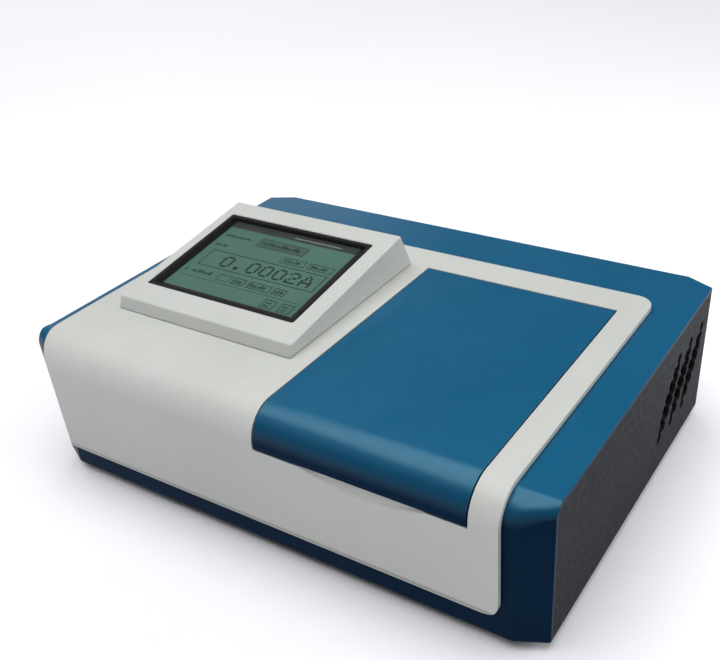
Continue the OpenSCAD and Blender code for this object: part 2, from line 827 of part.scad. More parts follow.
// Square mirror mount with a round concave mirror, facing +Y before it is turned
module mirror_mount(x, y, turn) {
    translate([x, y, mono_floor]) rotate([0, 0, turn]) difference() {
        union() {
            box(-17, 17, -6, 6, 0, 6);
            box(-16, 16, -6, 0, 6, beam_z - mono_floor + 17);
            rod_along_y(0, 0, beam_z - mono_floor, 15, 6, 64);
        }
        translate([0, 96, beam_z - mono_floor]) sphere(r = 92, $fn = 96);
    }
}

module collimating_mirror() {
    color(glass) mirror_mount(slit_x - 2, mono_y0 + 14, -12);
}

module focusing_mirror() {
    color(glass) mirror_mount(-8, mono_y0 + 14, 14);
}

module fold_mirror() {
    color(glass) translate([-5, beam_y, mono_floor]) rotate([0, 0, 45]) union() {
        box(-9, 9, 0, 8, 0, beam_z - mono_floor - 12);
        box(-9, 9, 3, 6, beam_z - mono_floor - 12, beam_z - mono_floor + 12);
    }
}

module grating_table() {
    table_z = worm_z + 5;
    color(aluminium) translate([grating_x, grating_y, 0]) union() {
        translate([0, 0, bench_z]) cylinder(h = table_z - bench_z, r = stage_shaft_r, $fn = 48);
        translate([0, 0, mono_floor + 0.4]) cylinder(h = 3, r = 9, $fn = 48);
        translate([0, 0, table_z]) cylinder(h = 4, r = 22, $fn = 64);
        box(-16, 16, 6, 12, table_z + 4, table_z + 30);
    }
}

module grating() {
    table_z = worm_z + 5;
    color(glass) translate([grating_x, grating_y, 0]) box(-15, 15, -2, 6, table_z + 4, table_z + 34);
}

// Toothed wheel on the grating shaft
module worm_wheel() {
    teeth = 60;
    color(brass) translate([grating_x, grating_y, worm_z - 3]) difference() {
        union() {
            cylinder(h = 6, r = wheel_r - 1.2, $fn = 96);
            for (i = [0 : teeth - 1]) rotate([0, 0, i * 360 / teeth])
                translate([wheel_r - 2, -0.5, 0]) cube([2, 1, 6]);
        }
        translate([0, 0, -1]) cylinder(h = 8, r = stage_shaft_r + 0.02, $fn = 48);
    }
}

module worm_shaft() {
    color(steel) union() {
        rod_along_x(grating_x - 22, worm_y, worm_z, 2, 54);
        for (i = [0 : 6]) rod_along_x(grating_x - 9.2 + i * 2.8, worm_y, worm_z, worm_r, 1.4);
        rod_along_x(grating_x - 10, worm_y, worm_z, worm_r - 1.2, 20);
    }
}

module grating_motor() {
    motor_x = grating_x + 25;
    color(dark_grey) difference() {
        union() {
            box(motor_x, motor_x + 28, worm_y - 14, worm_y + 14, worm_z - 14, worm_z + 14);
            box(motor_x, motor_x + 28, worm_y - 10, worm_y + 10, mono_floor, worm_z - 14);
            box(grating_x - 21, grating_x - 16, worm_y - 5, worm_y + 5, mono_floor, worm_z + 6);
        }
        rod_along_x(grating_x - 23, worm_y, worm_z, 2 + running, 60);
    }
}

module filter_wheel() {
    color(aluminium) difference() {
        union() {
            rod_along_y(filter_x, filter_y - 1.5, beam_z, filter_r, 3, 96);
            rod_along_y(filter_x, filter_y - 4, beam_z, 7, 7);
            rod_along_y(filter_x, filter_y - 12, beam_z, 2, 12);
        }
        for (p = filter_holes) rod_along_y(p[0], filter_y - 2, p[1], 6, 4);
    }
}

module filters() {
    color(glass) for (p = filter_holes) rod_along_y(p[0], filter_y - 1, p[1], 6, 2);
}

module filter_motor() {
    color(dark_grey) difference() {
        union() {
            rod_along_y(filter_x, filter_y - 26, beam_z, 14, 20, 64);
            box(filter_x - 14, filter_x - 5, filter_y - 22, filter_y - 10, mono_floor, beam_z - 8);
        }
        rod_along_y(filter_x, filter_y - 14, beam_z, 2 + running, 20);
    }
}

// ---------- light source, detector, electronics ----------

module lamp_housing() {
    color(aluminium) difference() {
        union() {
            box(lamp_x0, lamp_x1, lamp_y0, lamp_y1, bench_z, 100);
            for (i = [0 : 8]) box(lamp_x0 + 3 + i * 8.5, lamp_x0 + 5 + i * 8.5, lamp_y0, lamp_y1, 100, 108);
        }
        box(lamp_x0 + 3, lamp_x1 - 3, lamp_y0 + 3, lamp_y1 - 3, bench_z + 3, 97);
        rod_along_y(slit_x, lamp_y0 - 1, beam_z, 8, 5);
        for (i = [-2 : 2])
            box(slit_x + i * 12 - 1.5, slit_x + i * 12 + 1.5, lamp_mid_y, lamp_y1 - 6, 96, 109);
    }
}

module lamp_holder() {
    color("white") difference() {
        union() {
            translate([slit_x, lamp_mid_y, bench_z + 3]) cylinder(h = 16, r = 9, $fn = 48);
            box(slit_x - 16, slit_x + 16, lamp_mid_y - 9, lamp_mid_y + 9, bench_z + 3, bench_z + 7);
        }
        for (s = [-1, 1])
            translate([slit_x + s * 2, lamp_mid_y, bench_z + 10]) cylinder(h = 12, r = 0.5, $fn = 24);
    }
}

module halogen_lamp() {
    base = bench_z + 19;
    color(glass) translate([slit_x, lamp_mid_y, base]) union() {
        for (s = [-1, 1]) translate([s * 2, 0, -8]) cylinder(h = 12, r = 0.5, $fn = 24);
        translate([-4, -2, 0]) cube([8, 4, 8]);
        translate([0, 0, 8]) cylinder(h = 18, r = 5.5, $fn = 48);
        translate([0, 0, 26]) sphere(r = 5.5, $fn = 48);
    }
}

module condenser_mirror() {
    color(glass) translate([slit_x, lamp_y1 - 12, bench_z + 3]) difference() {
        union() {
            box(-14, 14, 0, 5, 0, beam_z - bench_z + 11);
            box(-14, 14, -5, 5, 0, 4);
            rod_along_y(0, -4, beam_z - bench_z - 3, 14, 5, 64);
        }
        translate([0, -48, beam_z - bench_z - 3]) sphere(r = 46.5, $fn = 96);
    }
}

module detector_module() {
    x0 = chamber_x1 + 2;
    color(black) difference() {
        union() {
            box(x0, x0 + 34, beam_y - 18, beam_y + 18, bench_z, 94);
            rod_along_x(chamber_x1, beam_y, beam_z, 12, 3);
            box(x0 + 34, x0 + 37, beam_y - 14, beam_y + 14, bench_z + 6, 88);
        }
        rod_along_x(chamber_x1 - 1, beam_y, beam_z, 7, 12);
    }
}

board_x0 = -half_w + 16;
board_x1 = mono_x0 - 16;
board_z = inner_floor + 12;

module main_board() {
    top = board_z + board_t;
    color(board_green) union() {
        box(board_x0, board_x1, -136, 40, board_z, top);
        for (x = [board_x0 + 6, board_x1 - 6], y = [-130, 34])
            translate([x, y, inner_floor]) cylinder(h = board_z - inner_floor + 0.5, r = 3, $fn = 24);
        box(board_x0 + 24, board_x0 + 44, -70, -50, top, top + 2.5);
        for (i = [0 : 3]) box(board_x0 + 8 + i * 16, board_x0 + 18 + i * 16, -20, 0, top, top + 3);
        for (i = [0 : 4]) translate([board_x0 + 10 + i * 13, 22, top]) cylinder(h = 12, r = 4.5, $fn = 32);
        box(board_x0 + 4, board_x0 + 12, -120, -80, top, top + 9);
        for (i = [0 : 2]) box(board_x1 - 12, board_x1 - 2, -116 + i * 24, -98 + i * 24, top, top + 7);
    }
}

module power_supply() {
    x0 = board_x0;
    x1 = lamp_x0 - 10;
    color(steel) difference() {
        box(x0, x1, 52, 130, inner_floor, 62);
        box(x0 + 1.5, x1 - 1.5, 53.5, 128.5, inner_floor + 1.5, 60.5);
        for (i = [0 : 8]) box(x0 + 10 + i * 7, x0 + 13 + i * 7, 62, 120, 60, 63);
    }
}

// ---------- rear fittings ----------

fan_y0 = panel_y - panel_t - fan_depth;

module fan_frame() {
    half = fan_size / 2;
    strut_y = fan_y0;
    color(black) difference() {
        union() {
            difference() {
                box(fan_x - half, fan_x + half, fan_y0, fan_y0 + fan_depth, fan_z - half, fan_z + half);
                rod_along_y(fan_x, fan_y0 - 1, fan_z, half - 2, fan_depth + 2, 96);
            }
            for (a = [45, 135]) translate([fan_x, strut_y, fan_z]) rotate([0, a, 0])
                translate([-half - 4, 0, -2]) cube([fan_size + 8, 3, 4]);
            rod_along_y(fan_x, strut_y, fan_z, 15, 4);
        }
        rod_along_y(fan_x, strut_y - 1, fan_z, 2 + running, 6);
        for (p = fan_corners) rod_along_y(p[0], fan_y0 - 1, p[1], 2.1, fan_depth + 2, 24);
    }
}

module fan_rotor() {
    blades = 7;
    hub_y = fan_y0 + 5;
    color(black) union() {
        rod_along_y(fan_x, fan_y0 + 0.5, fan_z, 2, 6);
        rod_along_y(fan_x, hub_y, fan_z, 16, 17);
        for (i = [0 : blades - 1]) translate([fan_x, hub_y + 8, fan_z]) rotate([0, i * 360 / blades, 0])
            translate([25, 0, 0]) rotate([35, 0, 0]) cube([22, 1.8, 17], center = true);
    }
}

// Wire finger guard over the fan
module fan_guard() {
    wire = 0.9;
    thick = 1.6;
    half = fan_pitch / 2;
    color(steel) difference() {
        union() {
            for (r = [9, 16, 23, 30, 37]) difference() {
                rod_along_y(fan_x, panel_y + 0.1, fan_z, r + wire, thick, 96);
                rod_along_y(fan_x, panel_y - 1, fan_z, r - wire, 4, 96);
            }
            for (a = [45, 135]) translate([fan_x, panel_y, fan_z]) rotate([0, a, 0])
                translate([-half * 1.414, 0, -wire]) cube([half * 2.828, thick, 2 * wire]);
            for (p = fan_corners) rod_along_y(p[0], panel_y, p[1], 4, thick, 32);
        }
        for (p = fan_corners) rod_along_y(p[0], panel_y - 1, p[1], 2.05, 4, 32);
    }
}

// Mains inlet with a flange, a hollow for the plug and three pins
module power_inlet() {
    color(black) difference() {
        union() {
            box(inlet_x - 25, inlet_x + 25, panel_y, panel_y + 2, inlet_z - 11.5, inlet_z + 11.5);
            box(inlet_x - 13.8, inlet_x + 13.8, panel_y - 24, panel_y + 1, inlet_z - 10.2, inlet_z + 10.2);
        }
        box(inlet_x - 12, inlet_x + 12, panel_y - 16, panel_y + 3, inlet_z - 8, inlet_z + 8);
        for (x = inlet_screws) rod_along_y(x, panel_y - 1, inlet_z, 1.8, 4, 24);
        for (p = inlet_slots) box(p[0] - 1, p[0] + 1, panel_y - 26, panel_y - 15, p[1] - 2, p[1] + 2);
    }
}

module inlet_pins() {
    color(brass) for (p = inlet_slots)
        box(p[0] - 1, p[0] + 1, panel_y - 30, panel_y - 2, p[1] - 2, p[1] + 2);
}

module switch_frame() {
    w = rocker_w / 2;
    h = rocker_h / 2;
    color(black) translate([rocker_x, panel_y, rocker_z]) difference() {
        union() {
            box(-w - 1.5, w + 1.5, 0, 2, -h - 1.5, h + 1.5);
            box(-w, w, -16, 1, -h, h);
        }
        box(-w + 1.2, w - 1.2, -9, 3, -h + 1.2, h - 1.2);
        rod_along_x(-w - 1, rocker_y - panel_y, 0, 1.2 + running, rocker_w + 2, 32);
    }
}

rocker_y = panel_y - 4;

// Rocker at rest in its off position, tipped outwards at the top
module switch_rocker() {
    w = rocker_w / 2 - 1.6;
    color(black) translate([rocker_x, rocker_y, rocker_z]) rotate([-rocker_tilt, 0, 0]) union() {
        along_x(-w, w) polygon([[-1.5, -3], [-1.5, 3], [2, 7.4], [6.2, 7.4],
            [4.6, 0], [6.2, -7.4], [2, -7.4]]);
        rod_along_x(-rocker_w / 2 + 0.2, 0, 0, 1.2, rocker_w - 0.4, 32);
    }
}

// Square data socket and a nine-way serial connector with two jack posts
module data_ports() {
    color(steel) union() {
        difference() {
            box(usb_x - 6, usb_x + 6, panel_y - 16, panel_y + 0.5, port_z - 5.5, port_z + 5.5);
            box(usb_x - 4.4, usb_x + 4.4, panel_y - 10, panel_y + 1, port_z - 4.2, port_z + 4.2);
        }
        difference() {
            union() {
                box(serial_x - 15.5, serial_x + 15.5, panel_y, panel_y + 0.8, port_z - 6.2, port_z + 6.2);
                box(serial_x - 9, serial_x + 9, panel_y - 8, panel_y + 4.5, port_z - 4.6, port_z + 4.6);
            }
            box(serial_x - 8.2, serial_x + 8.2, panel_y - 1, panel_y + 5, port_z - 3.8, port_z + 3.8);
        }
        for (i = [0 : 8]) rod_along_y(serial_x - 5.6 + (i % 5) * 2.8 + (i > 4 ? 1.4 : 0), panel_y - 2,
            port_z + (i > 4 ? -1.4 : 1.4), 0.5, 5.5, 24);
        for (s = [-1, 1]) rod_along_y(serial_x + s * 12.5, panel_y + 0.5, port_z, 2.4, 3.8, 6);
    }
}

base_tray();
body_shell();
side_panel_left();
side_panel_right();
rear_panel();
front_cover();
rubber_feet();
foot_screws();
rear_screws();
display_housing();
display_bezel();
touch_panel();
lcd_module();
display_board();
sample_lid();
lid_liner();
hinge_arms();
hinge_brackets();
hinge_pins();
lid_seal();
optics_plate();
plate_posts();
sample_chamber();
entry_lens();
exit_window();
carriage_rods();
cuvette_carriage();
carriage_nut();
carriage_screw();
carriage_motor();
monochromator_box();
monochromator_lid();
slit_plates();
collimating_mirror();
focusing_mirror();
fold_mirror();
grating_table();
grating();
worm_wheel();
worm_shaft();
grating_motor();
filter_wheel();
filters();
filter_motor();
lamp_housing();
lamp_holder();
halogen_lamp();
condenser_mirror();
detector_module();
main_board();
power_supply();
fan_frame();
fan_rotor();
fan_guard();
power_inlet();
inlet_pins();
switch_frame();
switch_rocker();
data_ports();
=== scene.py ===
"""Visual model of a bench spectrophotometer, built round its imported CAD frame.

Everything is in metres in the frame's own axes: X to the right, Y to the rear, Z up.
"""
import json
import math

import bmesh
import bpy
from mathutils import Matrix, Vector


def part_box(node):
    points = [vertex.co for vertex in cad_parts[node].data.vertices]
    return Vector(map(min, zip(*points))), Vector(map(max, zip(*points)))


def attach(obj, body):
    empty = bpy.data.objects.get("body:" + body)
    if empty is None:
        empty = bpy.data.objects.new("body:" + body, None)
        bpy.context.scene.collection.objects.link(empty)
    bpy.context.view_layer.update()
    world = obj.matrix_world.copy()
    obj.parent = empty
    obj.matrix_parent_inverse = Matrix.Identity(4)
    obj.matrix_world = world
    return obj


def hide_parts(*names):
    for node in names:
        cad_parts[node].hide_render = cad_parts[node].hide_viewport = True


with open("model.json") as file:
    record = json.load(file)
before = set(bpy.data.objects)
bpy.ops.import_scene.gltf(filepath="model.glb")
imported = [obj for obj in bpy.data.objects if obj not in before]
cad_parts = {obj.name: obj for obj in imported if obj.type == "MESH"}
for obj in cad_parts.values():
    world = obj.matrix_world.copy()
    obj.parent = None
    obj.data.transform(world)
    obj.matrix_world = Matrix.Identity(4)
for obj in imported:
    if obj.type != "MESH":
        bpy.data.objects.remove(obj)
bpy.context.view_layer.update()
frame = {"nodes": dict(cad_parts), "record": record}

MM = 0.001


# ---------------------------------------------------------------- places from the frame

class Box:
    """Low and high corner of a CAD node."""

    def __init__(self, node):
        (self.x0, self.y0, self.z0), (self.x1, self.y1, self.z1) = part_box(node)


shell = Box("body_shell")
cover = Box("front_cover")
lid = Box("sample_lid")
housing = Box("display_housing")
chamber = Box("sample_chamber")

# Shell: its wall, which the display's housing shares, its front rounding and its corner chamfers
WALL = 3 * MM
EDGE_R = 21 * MM
CURVE_Y, CURVE_Z = shell.y0 + EDGE_R, shell.z1 - EDGE_R
CORNER_X, CORNER_Y = 23 * MM, 11 * MM
CHAMFER_BLEND = 10 * MM

# Cover: how far it stands proud, its corners and lower rim, the shadow gap behind it, the gap round the lid
COVER_T = cover.z1 - shell.z1
COVER_CORNER = 15 * MM
COVER_CUT = (16 * MM, 36 * MM)
COVER_RIM, COVER_RIM_H = 2.5 * MM, 6.5 * MM
GAP_H, GAP_IN = 1 * MM, 1.5 * MM
LID_GAP = 1 * MM

# Tilted display: its front lip, its rear slope, the window in its top, and the levels of what fills it
LIP, LIP_LEAN = 10.8 * MM, 4 * MM
REAR_SLOPE = 15 * MM
WINDOW_W, WINDOW_D = 154 * MM, 116 * MM
WINDOW_X, WINDOW_Y = -3 * MM, 23 * MM
BEZEL_W = 4.5 * MM
BEZEL_TOP, FLANGE_TOP, GLASS_TOP, GLASS_LOW = -0.6 * MM, -3.1 * MM, -4 * MM, -5.4 * MM
GLASS_GAP, GLASS_R = 1.1 * MM, 0.8 * MM
PRINT_SUNK, PRINT_LAYER = 0.05 * MM, 0.04 * MM

# Cutters reach this far past what they cut, and the widest run out to this X on both sides
REACH = 10 * MM
WIDE = shell.x1 + 30 * MM

# Arc steps, and the angle below which neighbouring faces count as one flat face
ARC_STEPS, CORNER_STEPS, WINDOW_STEPS, SCOOP_STEPS = 24, 12, 6, 240
FLAT = math.radians(0.5)


def joint(name):
    """The record's entry for a joint."""
    return next(j for j in frame["record"]["behaviour"]["joints"] if j["name"] == name)


hinge = Vector(joint("lid_hinge")["pos_m"])
grating_axis = Vector(joint("grating_turn")["pos_m"])


# ---------------------------------------------------------------- material building blocks

class Shader:
    """A Principled material with a few short ways to add detail to it."""

    def __init__(self, name, roughness=0.5, metallic=0.0, **sockets):
        self.material = bpy.data.materials.new(name)
        self.material.use_nodes = True
        self.tree = self.material.node_tree
        self.bsdf = self.tree.nodes["Principled BSDF"]
        self.bsdf.inputs["Roughness"].default_value = roughness
        self.bsdf.inputs["Metallic"].default_value = metallic
        for key, value in sockets.items():
            self.bsdf.inputs[key.replace("_", " ")].default_value = value
        self.coords = self.tree.nodes.new("ShaderNodeTexCoord").outputs["Object"]
        self.height = None

    def feed(self, socket, value):
        """Links value to the socket if it is one itself, and otherwise sets it there."""
        if isinstance(value, bpy.types.NodeSocket):
            self.tree.links.new(value, socket)
        else:
            socket.default_value = value

    def node(self, kind, **inputs):
        made = self.tree.nodes.new(kind)
        for key, value in inputs.items():
            self.feed(made.inputs[key.replace("_", " ")], value)
        return made

    def stretched(self, scale):
        """The object's coordinates multiplied by scale along each axis."""
        made = self.node("ShaderNodeMapping", Vector=self.coords)
        made.inputs["Scale"].default_value = scale
        return made.outputs["Vector"]

    def noise(self, scale, detail, stretch=None):
        vector = self.stretched(stretch) if stretch else self.coords
        return self.node("ShaderNodeTexNoise", Vector=vector, Scale=scale, Detail=detail,
                         Roughness=0.55).outputs["Fac"]

    def cells(self, scale, feature="F1"):
        made = self.node("ShaderNodeTexVoronoi", Vector=self.coords, Scale=scale)
        made.feature = feature
        return made.outputs["Distance"]

    def span(self, value, low, high, out_low, out_high):
        """value mapped from low..high to out_low..out_high, clamped."""
        return self.node("ShaderNodeMapRange", Value=value, From_Min=low, From_Max=high,
                         To_Min=out_low, To_Max=out_high).outputs["Result"]

    def drift(self, scale, detail, low=0.0, high=1.0, stretch=None):
        """Noise whose middle values run from low to high."""
        return self.span(self.noise(scale, detail, stretch), 0.3, 0.7, low, high)

    def math(self, operation, a, b=0.0):
        made = self.tree.nodes.new("ShaderNodeMath")
        made.operation = operation
        for socket, value in zip(made.inputs, (a, b)):
            self.feed(socket, value)
        return made.outputs["Value"]

    def axis(self, letter):
        made = self.node("ShaderNodeSeparateXYZ", Vector=self.coords)
        return made.outputs[letter]

    def mix(self, factor, a, b):
        made = self.tree.nodes.new("ShaderNodeMix")
        made.data_type = "RGBA"
        # A mix node repeats its sockets for each kind of data; these are the colour ones
        for index, value in ((0, factor), (6, a), (7, b)):
            self.feed(made.inputs[index], value)
        return made.outputs[2]

    def link(self, socket, name):
        self.tree.links.new(socket, self.bsdf.inputs[name])

    def colour(self, socket):
        self.link(socket, "Base Color")

    def rough(self, socket):
        self.link(socket, "Roughness")

    def bump(self, height, strength, distance):
        """Adds a layer of bump on top of those already there."""
        made = self.node("ShaderNodeBump", Height=height, Strength=strength, Distance=distance)
        if self.height:
            self.tree.links.new(self.height, made.inputs["Normal"])
        self.height = made.outputs["Normal"]
        self.tree.links.new(self.height, self.bsdf.inputs["Normal"])


def rgb(hex_code, gain=1.0):
    """Linear colour of an sRGB hex code such as '1f6090'."""
    parts = [int(hex_code[i:i + 2], 16) / 255 for i in (0, 2, 4)]
    line = [p / 12.92 if p <= 0.04045 else ((p + 0.055) / 1.055) ** 2.4 for p in parts]
    return (*[p * gain for p in line], 1.0)


def mottled(s, dark, light, scale, fine):
    """Base colour that drifts slowly between two close tones, with a finer speckle on top."""
    tone = s.mix(s.drift(scale, 4.0), dark, light)
    speck = s.span(s.noise(fine, 2.0), 0.35, 0.65, 0.0, 1.0)
    tone = s.mix(s.math("MULTIPLY", speck, 0.35), tone, dark)
    s.colour(tone)
    return tone


# ---------------------------------------------------------------- materials

def blue_paint():
    """Satin blue paint, a clear teal blue on top, with a painted shade on upright faces: a deep dark blue and
    a lower specular level, mixed in by the face's direction.

    The roughness noise starts at 0.285: when it started at 0.27, the renders had dark specks on the paint.
    """
    s = Shader("blue_paint", 0.34, Specular_IOR_Level=0.3, Specular_Tint=(0.55, 0.95, 1.0, 1.0))
    tone = s.mix(s.drift(9.0, 4.0), rgb("024a6b"), rgb("064f71"))
    # Painted shade: by the face's direction on the piece, upright faces take the deep dark blue 021c34 and a
    # lower specular level
    normal = s.node("ShaderNodeTexCoord").outputs["Normal"]
    facing = s.node("ShaderNodeSeparateXYZ", Vector=normal).outputs["Z"]
    s.colour(s.mix(s.span(facing, 0.2, 0.95, 0.0, 1.0), rgb("021c34"), tone))
    s.link(s.span(facing, 0.1, 0.6, 0.03, 0.42), "Specular IOR Level")
    s.rough(s.drift(60.0, 4.0, 0.285, 0.355))
    s.bump(s.noise(420.0, 2.0), 0.06, 0.0002)
    return s.material


def white_plastic(name="white_plastic", rim_z=None):
    """Moulded white plastic; if rim_z is given, the sloping rim just above it gets a painted shade, a darker
    grey mixed in by height.
    """
    s = Shader(name, 0.5, Subsurface_Weight=0.03)
    tone = mottled(s, rgb("aeb0ac"), rgb("b6b8b4"), 7.0, 1100.0)
    if rim_z is not None:
        # Painted shade on the sloping lower rim, from 1 to 7 mm above rim_z
        height = s.axis("Z")
        rim = s.math("MULTIPLY", s.span(height, rim_z + MM, rim_z + 2.5 * MM, 0.0, 1.0),
                     s.span(height, rim_z + 6 * MM, rim_z + 7 * MM, 1.0, 0.0))
        s.colour(s.mix(rim, tone, rgb("9b9b93")))
    s.rough(s.drift(80.0, 4.0, 0.44, 0.56))
    s.bump(s.noise(1400.0, 2.0), 0.22, 0.0002)
    return s.material


def grey_texture_paint(name="grey_texture_paint", dark="1a1c1e", light="202326"):
    """Dull, finely textured paint."""
    s = Shader(name, 0.6, Specular_IOR_Level=0.08)
    mottled(s, rgb(dark), rgb(light), 12.0, 1300.0)
    s.rough(s.drift(200.0, 3.0, 0.55, 0.7))
    s.bump(s.noise(1600.0, 2.0), 0.2, 0.0002)
    return s.material


def rear_grey_paint():
    return grey_texture_paint("rear_grey_paint", "3f4245", "484b4e")


def black_plastic(name="black_plastic", roughness=0.45, shine=0.5):
    s = Shader(name, roughness, Specular_IOR_Level=shine)
    mottled(s, rgb("141416"), rgb("1d1d20"), 30.0, 1500.0)
    s.rough(s.drift(160.0, 3.0, roughness - 0.07, roughness + 0.08))
    s.bump(s.noise(1800.0, 2.0), 0.25, 0.00015)
    return s.material


def anodised_black():
    s = Shader("anodised_black", 0.4, 0.65)
    mottled(s, rgb("17171a"), rgb("232327"), 40.0, 2200.0)
    s.rough(s.drift(14.0, 4.0, 0.33, 0.5, (1.0, 40.0, 40.0)))
    s.bump(s.noise(20.0, 4.0, (1.0, 60.0, 60.0)), 0.12, 0.0001)
    return s.material


def steel():
    """Zinc-plated steel, brushed along X."""
    s = Shader("zinc_steel", 0.32, 1.0)
    brushed = (1.0, 60.0, 60.0)
    mottled(s, rgb("a9acb0", 0.86), rgb("a9acb0"), 25.0, 700.0)
    s.rough(s.drift(12.0, 5.0, 0.22, 0.46, brushed))
    s.bump(s.noise(16.0, 4.0, brushed), 0.1, 0.0001)
    return s.material


def cast_aluminium():
    s = Shader("cast_aluminium", 0.45, 0.9)
    mottled(s, rgb("9b9ea2"), rgb("b8bbbf"), 35.0, 1000.0)
    s.rough(s.drift(90.0, 4.0, 0.36, 0.58))
    s.bump(s.noise(700.0, 4.0), 0.3, 0.0003)
    return s.material


def brass_metal():
    s = Shader("brass_metal", 0.28, 1.0)
    mottled(s, rgb("a8873f"), rgb("cda95a"), 60.0, 900.0)
    s.rough(s.drift(300.0, 4.0, 0.2, 0.4))
    s.bump(s.noise(30.0, 3.0, (1.0, 50.0, 1.0)), 0.08, 0.0001)
    return s.material


def foot_rubber():
    s = Shader("foot_rubber", 0.82)
    mottled(s, rgb("131313"), rgb("1f1f1f"), 90.0, 1600.0)
    s.bump(s.noise(900.0, 4.0), 0.4, 0.0003)
    return s.material


def seal_foam():
    s = Shader("seal_foam", 0.95)
    s.colour(s.mix(s.span(s.cells(900.0), 0.0, 0.7, 0.0, 1.0), rgb("0d0d0d"), rgb("262626")))
    s.bump(s.cells(1200.0), 0.6, 0.0003)
    return s.material


def circuit_green():
    s = Shader("circuit_green", 0.35, Coat_Weight=0.4, Coat_Roughness=0.15)
    lines = s.span(s.cells(160.0, feature="DISTANCE_TO_EDGE"), 0.02, 0.06, 1.0, 0.0)
    s.colour(s.mix(lines, rgb("10512a"), rgb("2f8b4c")))
    s.bump(lines, 0.2, 0.0001)
    return s.material


def clear_glass(name="clear_glass", tone="eef6f5"):
    s = Shader(name, 0.02, Transmission_Weight=1.0, IOR=1.46)
    s.colour(s.mix(s.noise(40.0, 2.0), rgb(tone, 0.96), rgb(tone)))
    s.rough(s.span(s.noise(90.0, 3.0), 0.4, 0.7, 0.02, 0.05))
    return s.material


def mirror_coat():
    s = Shader("mirror_coat", 0.04, 1.0)
    s.colour(s.mix(s.noise(30.0, 3.0), rgb("e6e9ee", 0.94), rgb("e6e9ee")))
    s.rough(s.span(s.noise(150.0, 4.0), 0.45, 0.75, 0.02, 0.12))
    return s.material


def ruled_grating():
    """Ruled metal whose colour carries painted diffraction colours: fixed bands of colour across its width,
    in place of the light its rulings would split.
    """
    s = Shader("ruled_grating", 0.12, 1.0, Anisotropic=0.6)
    half = 15 * MM
    # Painted reflection: diffraction colours laid across X as fixed colour bands
    painted_diffraction_bands = s.span(s.axis("X"), grating_axis.x - half, grating_axis.x + half, 0.0, 1.0)
    ramp = s.node("ShaderNodeValToRGB", Fac=painted_diffraction_bands)
    stops = ramp.color_ramp.elements
    stops[0].color, stops[1].color = rgb("5b66c9"), rgb("c96a5b")
    for place, tone in ((0.3, "4fb3c4"), (0.5, "66bf72"), (0.72, "cfc25a")):
        stops.new(place).color = rgb(tone)
    s.colour(ramp.outputs["Color"])
    s.bump(s.noise(9000.0, 1.0, (1.0, 0.01, 0.01)), 0.2, 0.00005)
    return s.material


def lamp_ceramic():
    s = Shader("lamp_ceramic", 0.55)
    mottled(s, rgb("cfc8b8"), rgb("e4dfd3"), 80.0, 900.0)
    s.bump(s.noise(800.0, 3.0), 0.25, 0.0002)
    return s.material


def amber_filter():
    return clear_glass("amber_filter", "d98a3a")


def screen_lcd():
    """Grey-green liquid crystal under a satin film."""
    s = Shader("screen_lcd", 0.31, Coat_Weight=0.2, Coat_Roughness=0.14)
    tone = s.mix(s.drift(5.0, 2.0), rgb("3a5b51"), rgb("42665a"))
    waves = [s.math("SINE", s.math("MULTIPLY", s.axis(letter), 13000.0)) for letter in "XY"]
    dots = s.math("MULTIPLY", *waves)
    s.colour(s.mix(s.span(dots, 0.5, 1.0, 0.0, 0.04), tone, rgb("2f4e45")))
    s.rough(s.drift(200.0, 3.0, 0.285, 0.34))
    return s.material


def printed(name, dark, light):
    """A flat printed or switched-on area of the screen."""
    s = Shader(name, 0.32, Coat_Weight=0.2, Coat_Roughness=0.14)
    mottled(s, rgb(dark), rgb(light), 60.0, 2500.0)
    return s.material


def screen_ink():
    return printed("screen_ink", "0b1a16", "122620")


def screen_bar():
    return printed("screen_bar", "262d2a", "2e3532")


def screen_field():
    return printed("screen_field", "30493f", "385348")


def screen_light():
    return printed("screen_light", "5d6869", "6b7677")


def screen_mask():
    return printed("screen_mask", "050707", "090b0b")


def floor_paper():
    """Pale paper sweep, lit from inside towards its far edges so that it stays even."""
    s = Shader("floor_paper", 0.9, Specular_IOR_Level=0.1)
    mottled(s, rgb("e2e2e8"), rgb("e6e6ec"), 2.0, 60.0)
    length = s.tree.nodes.new("ShaderNodeVectorMath")
    length.operation = "LENGTH"
    s.tree.links.new(s.coords, length.inputs[0])
    away = length.outputs["Value"]
    glow = s.math("ADD", s.span(away, 0.2, 0.7, 0.0, 0.3), s.span(away, 0.9, 3.5, 0.0, 0.54))
    s.link(glow, "Emission Strength")
    s.bsdf.inputs["Emission Color"].default_value = rgb("f0eff5")
    return s.material


MATERIALS = {}


def use(maker, *args):
    """The one material that maker makes with these arguments."""
    key = (maker.__name__, *args)
    if key not in MATERIALS:
        MATERIALS[key] = maker(*args)
    return MATERIALS[key]


# ---------------------------------------------------------------- outlines

def arc(x, y, r, a0, a1, steps=ARC_STEPS):
    """Points along a circular arc; angles in degrees."""
    turn = [math.radians(a0 + (a1 - a0) * i / steps) for i in range(steps + 1)]
    return [(x + r * math.cos(t), y + r * math.sin(t)) for t in turn]


def front_curve(grow, z):
    """Front curve of the body in Y and Z, grown outwards, from the flat top down to height z."""
    r = EDGE_R + grow
    if z < CURVE_Z:
        return arc(CURVE_Y, CURVE_Z, r, 90, 180) + [(shell.y0 - grow, z)]
    return arc(CURVE_Y, CURVE_Z, r, 90, 180 - math.degrees(math.asin((z - CURVE_Z) / r)))


def side_outline(grow, z0, y1):
    """The body's side view in Y and Z, grown outwards, from its low rear corner over the top to the front."""
    return [(y1, z0), (y1, shell.z1 + grow)] + front_curve(grow, z0)


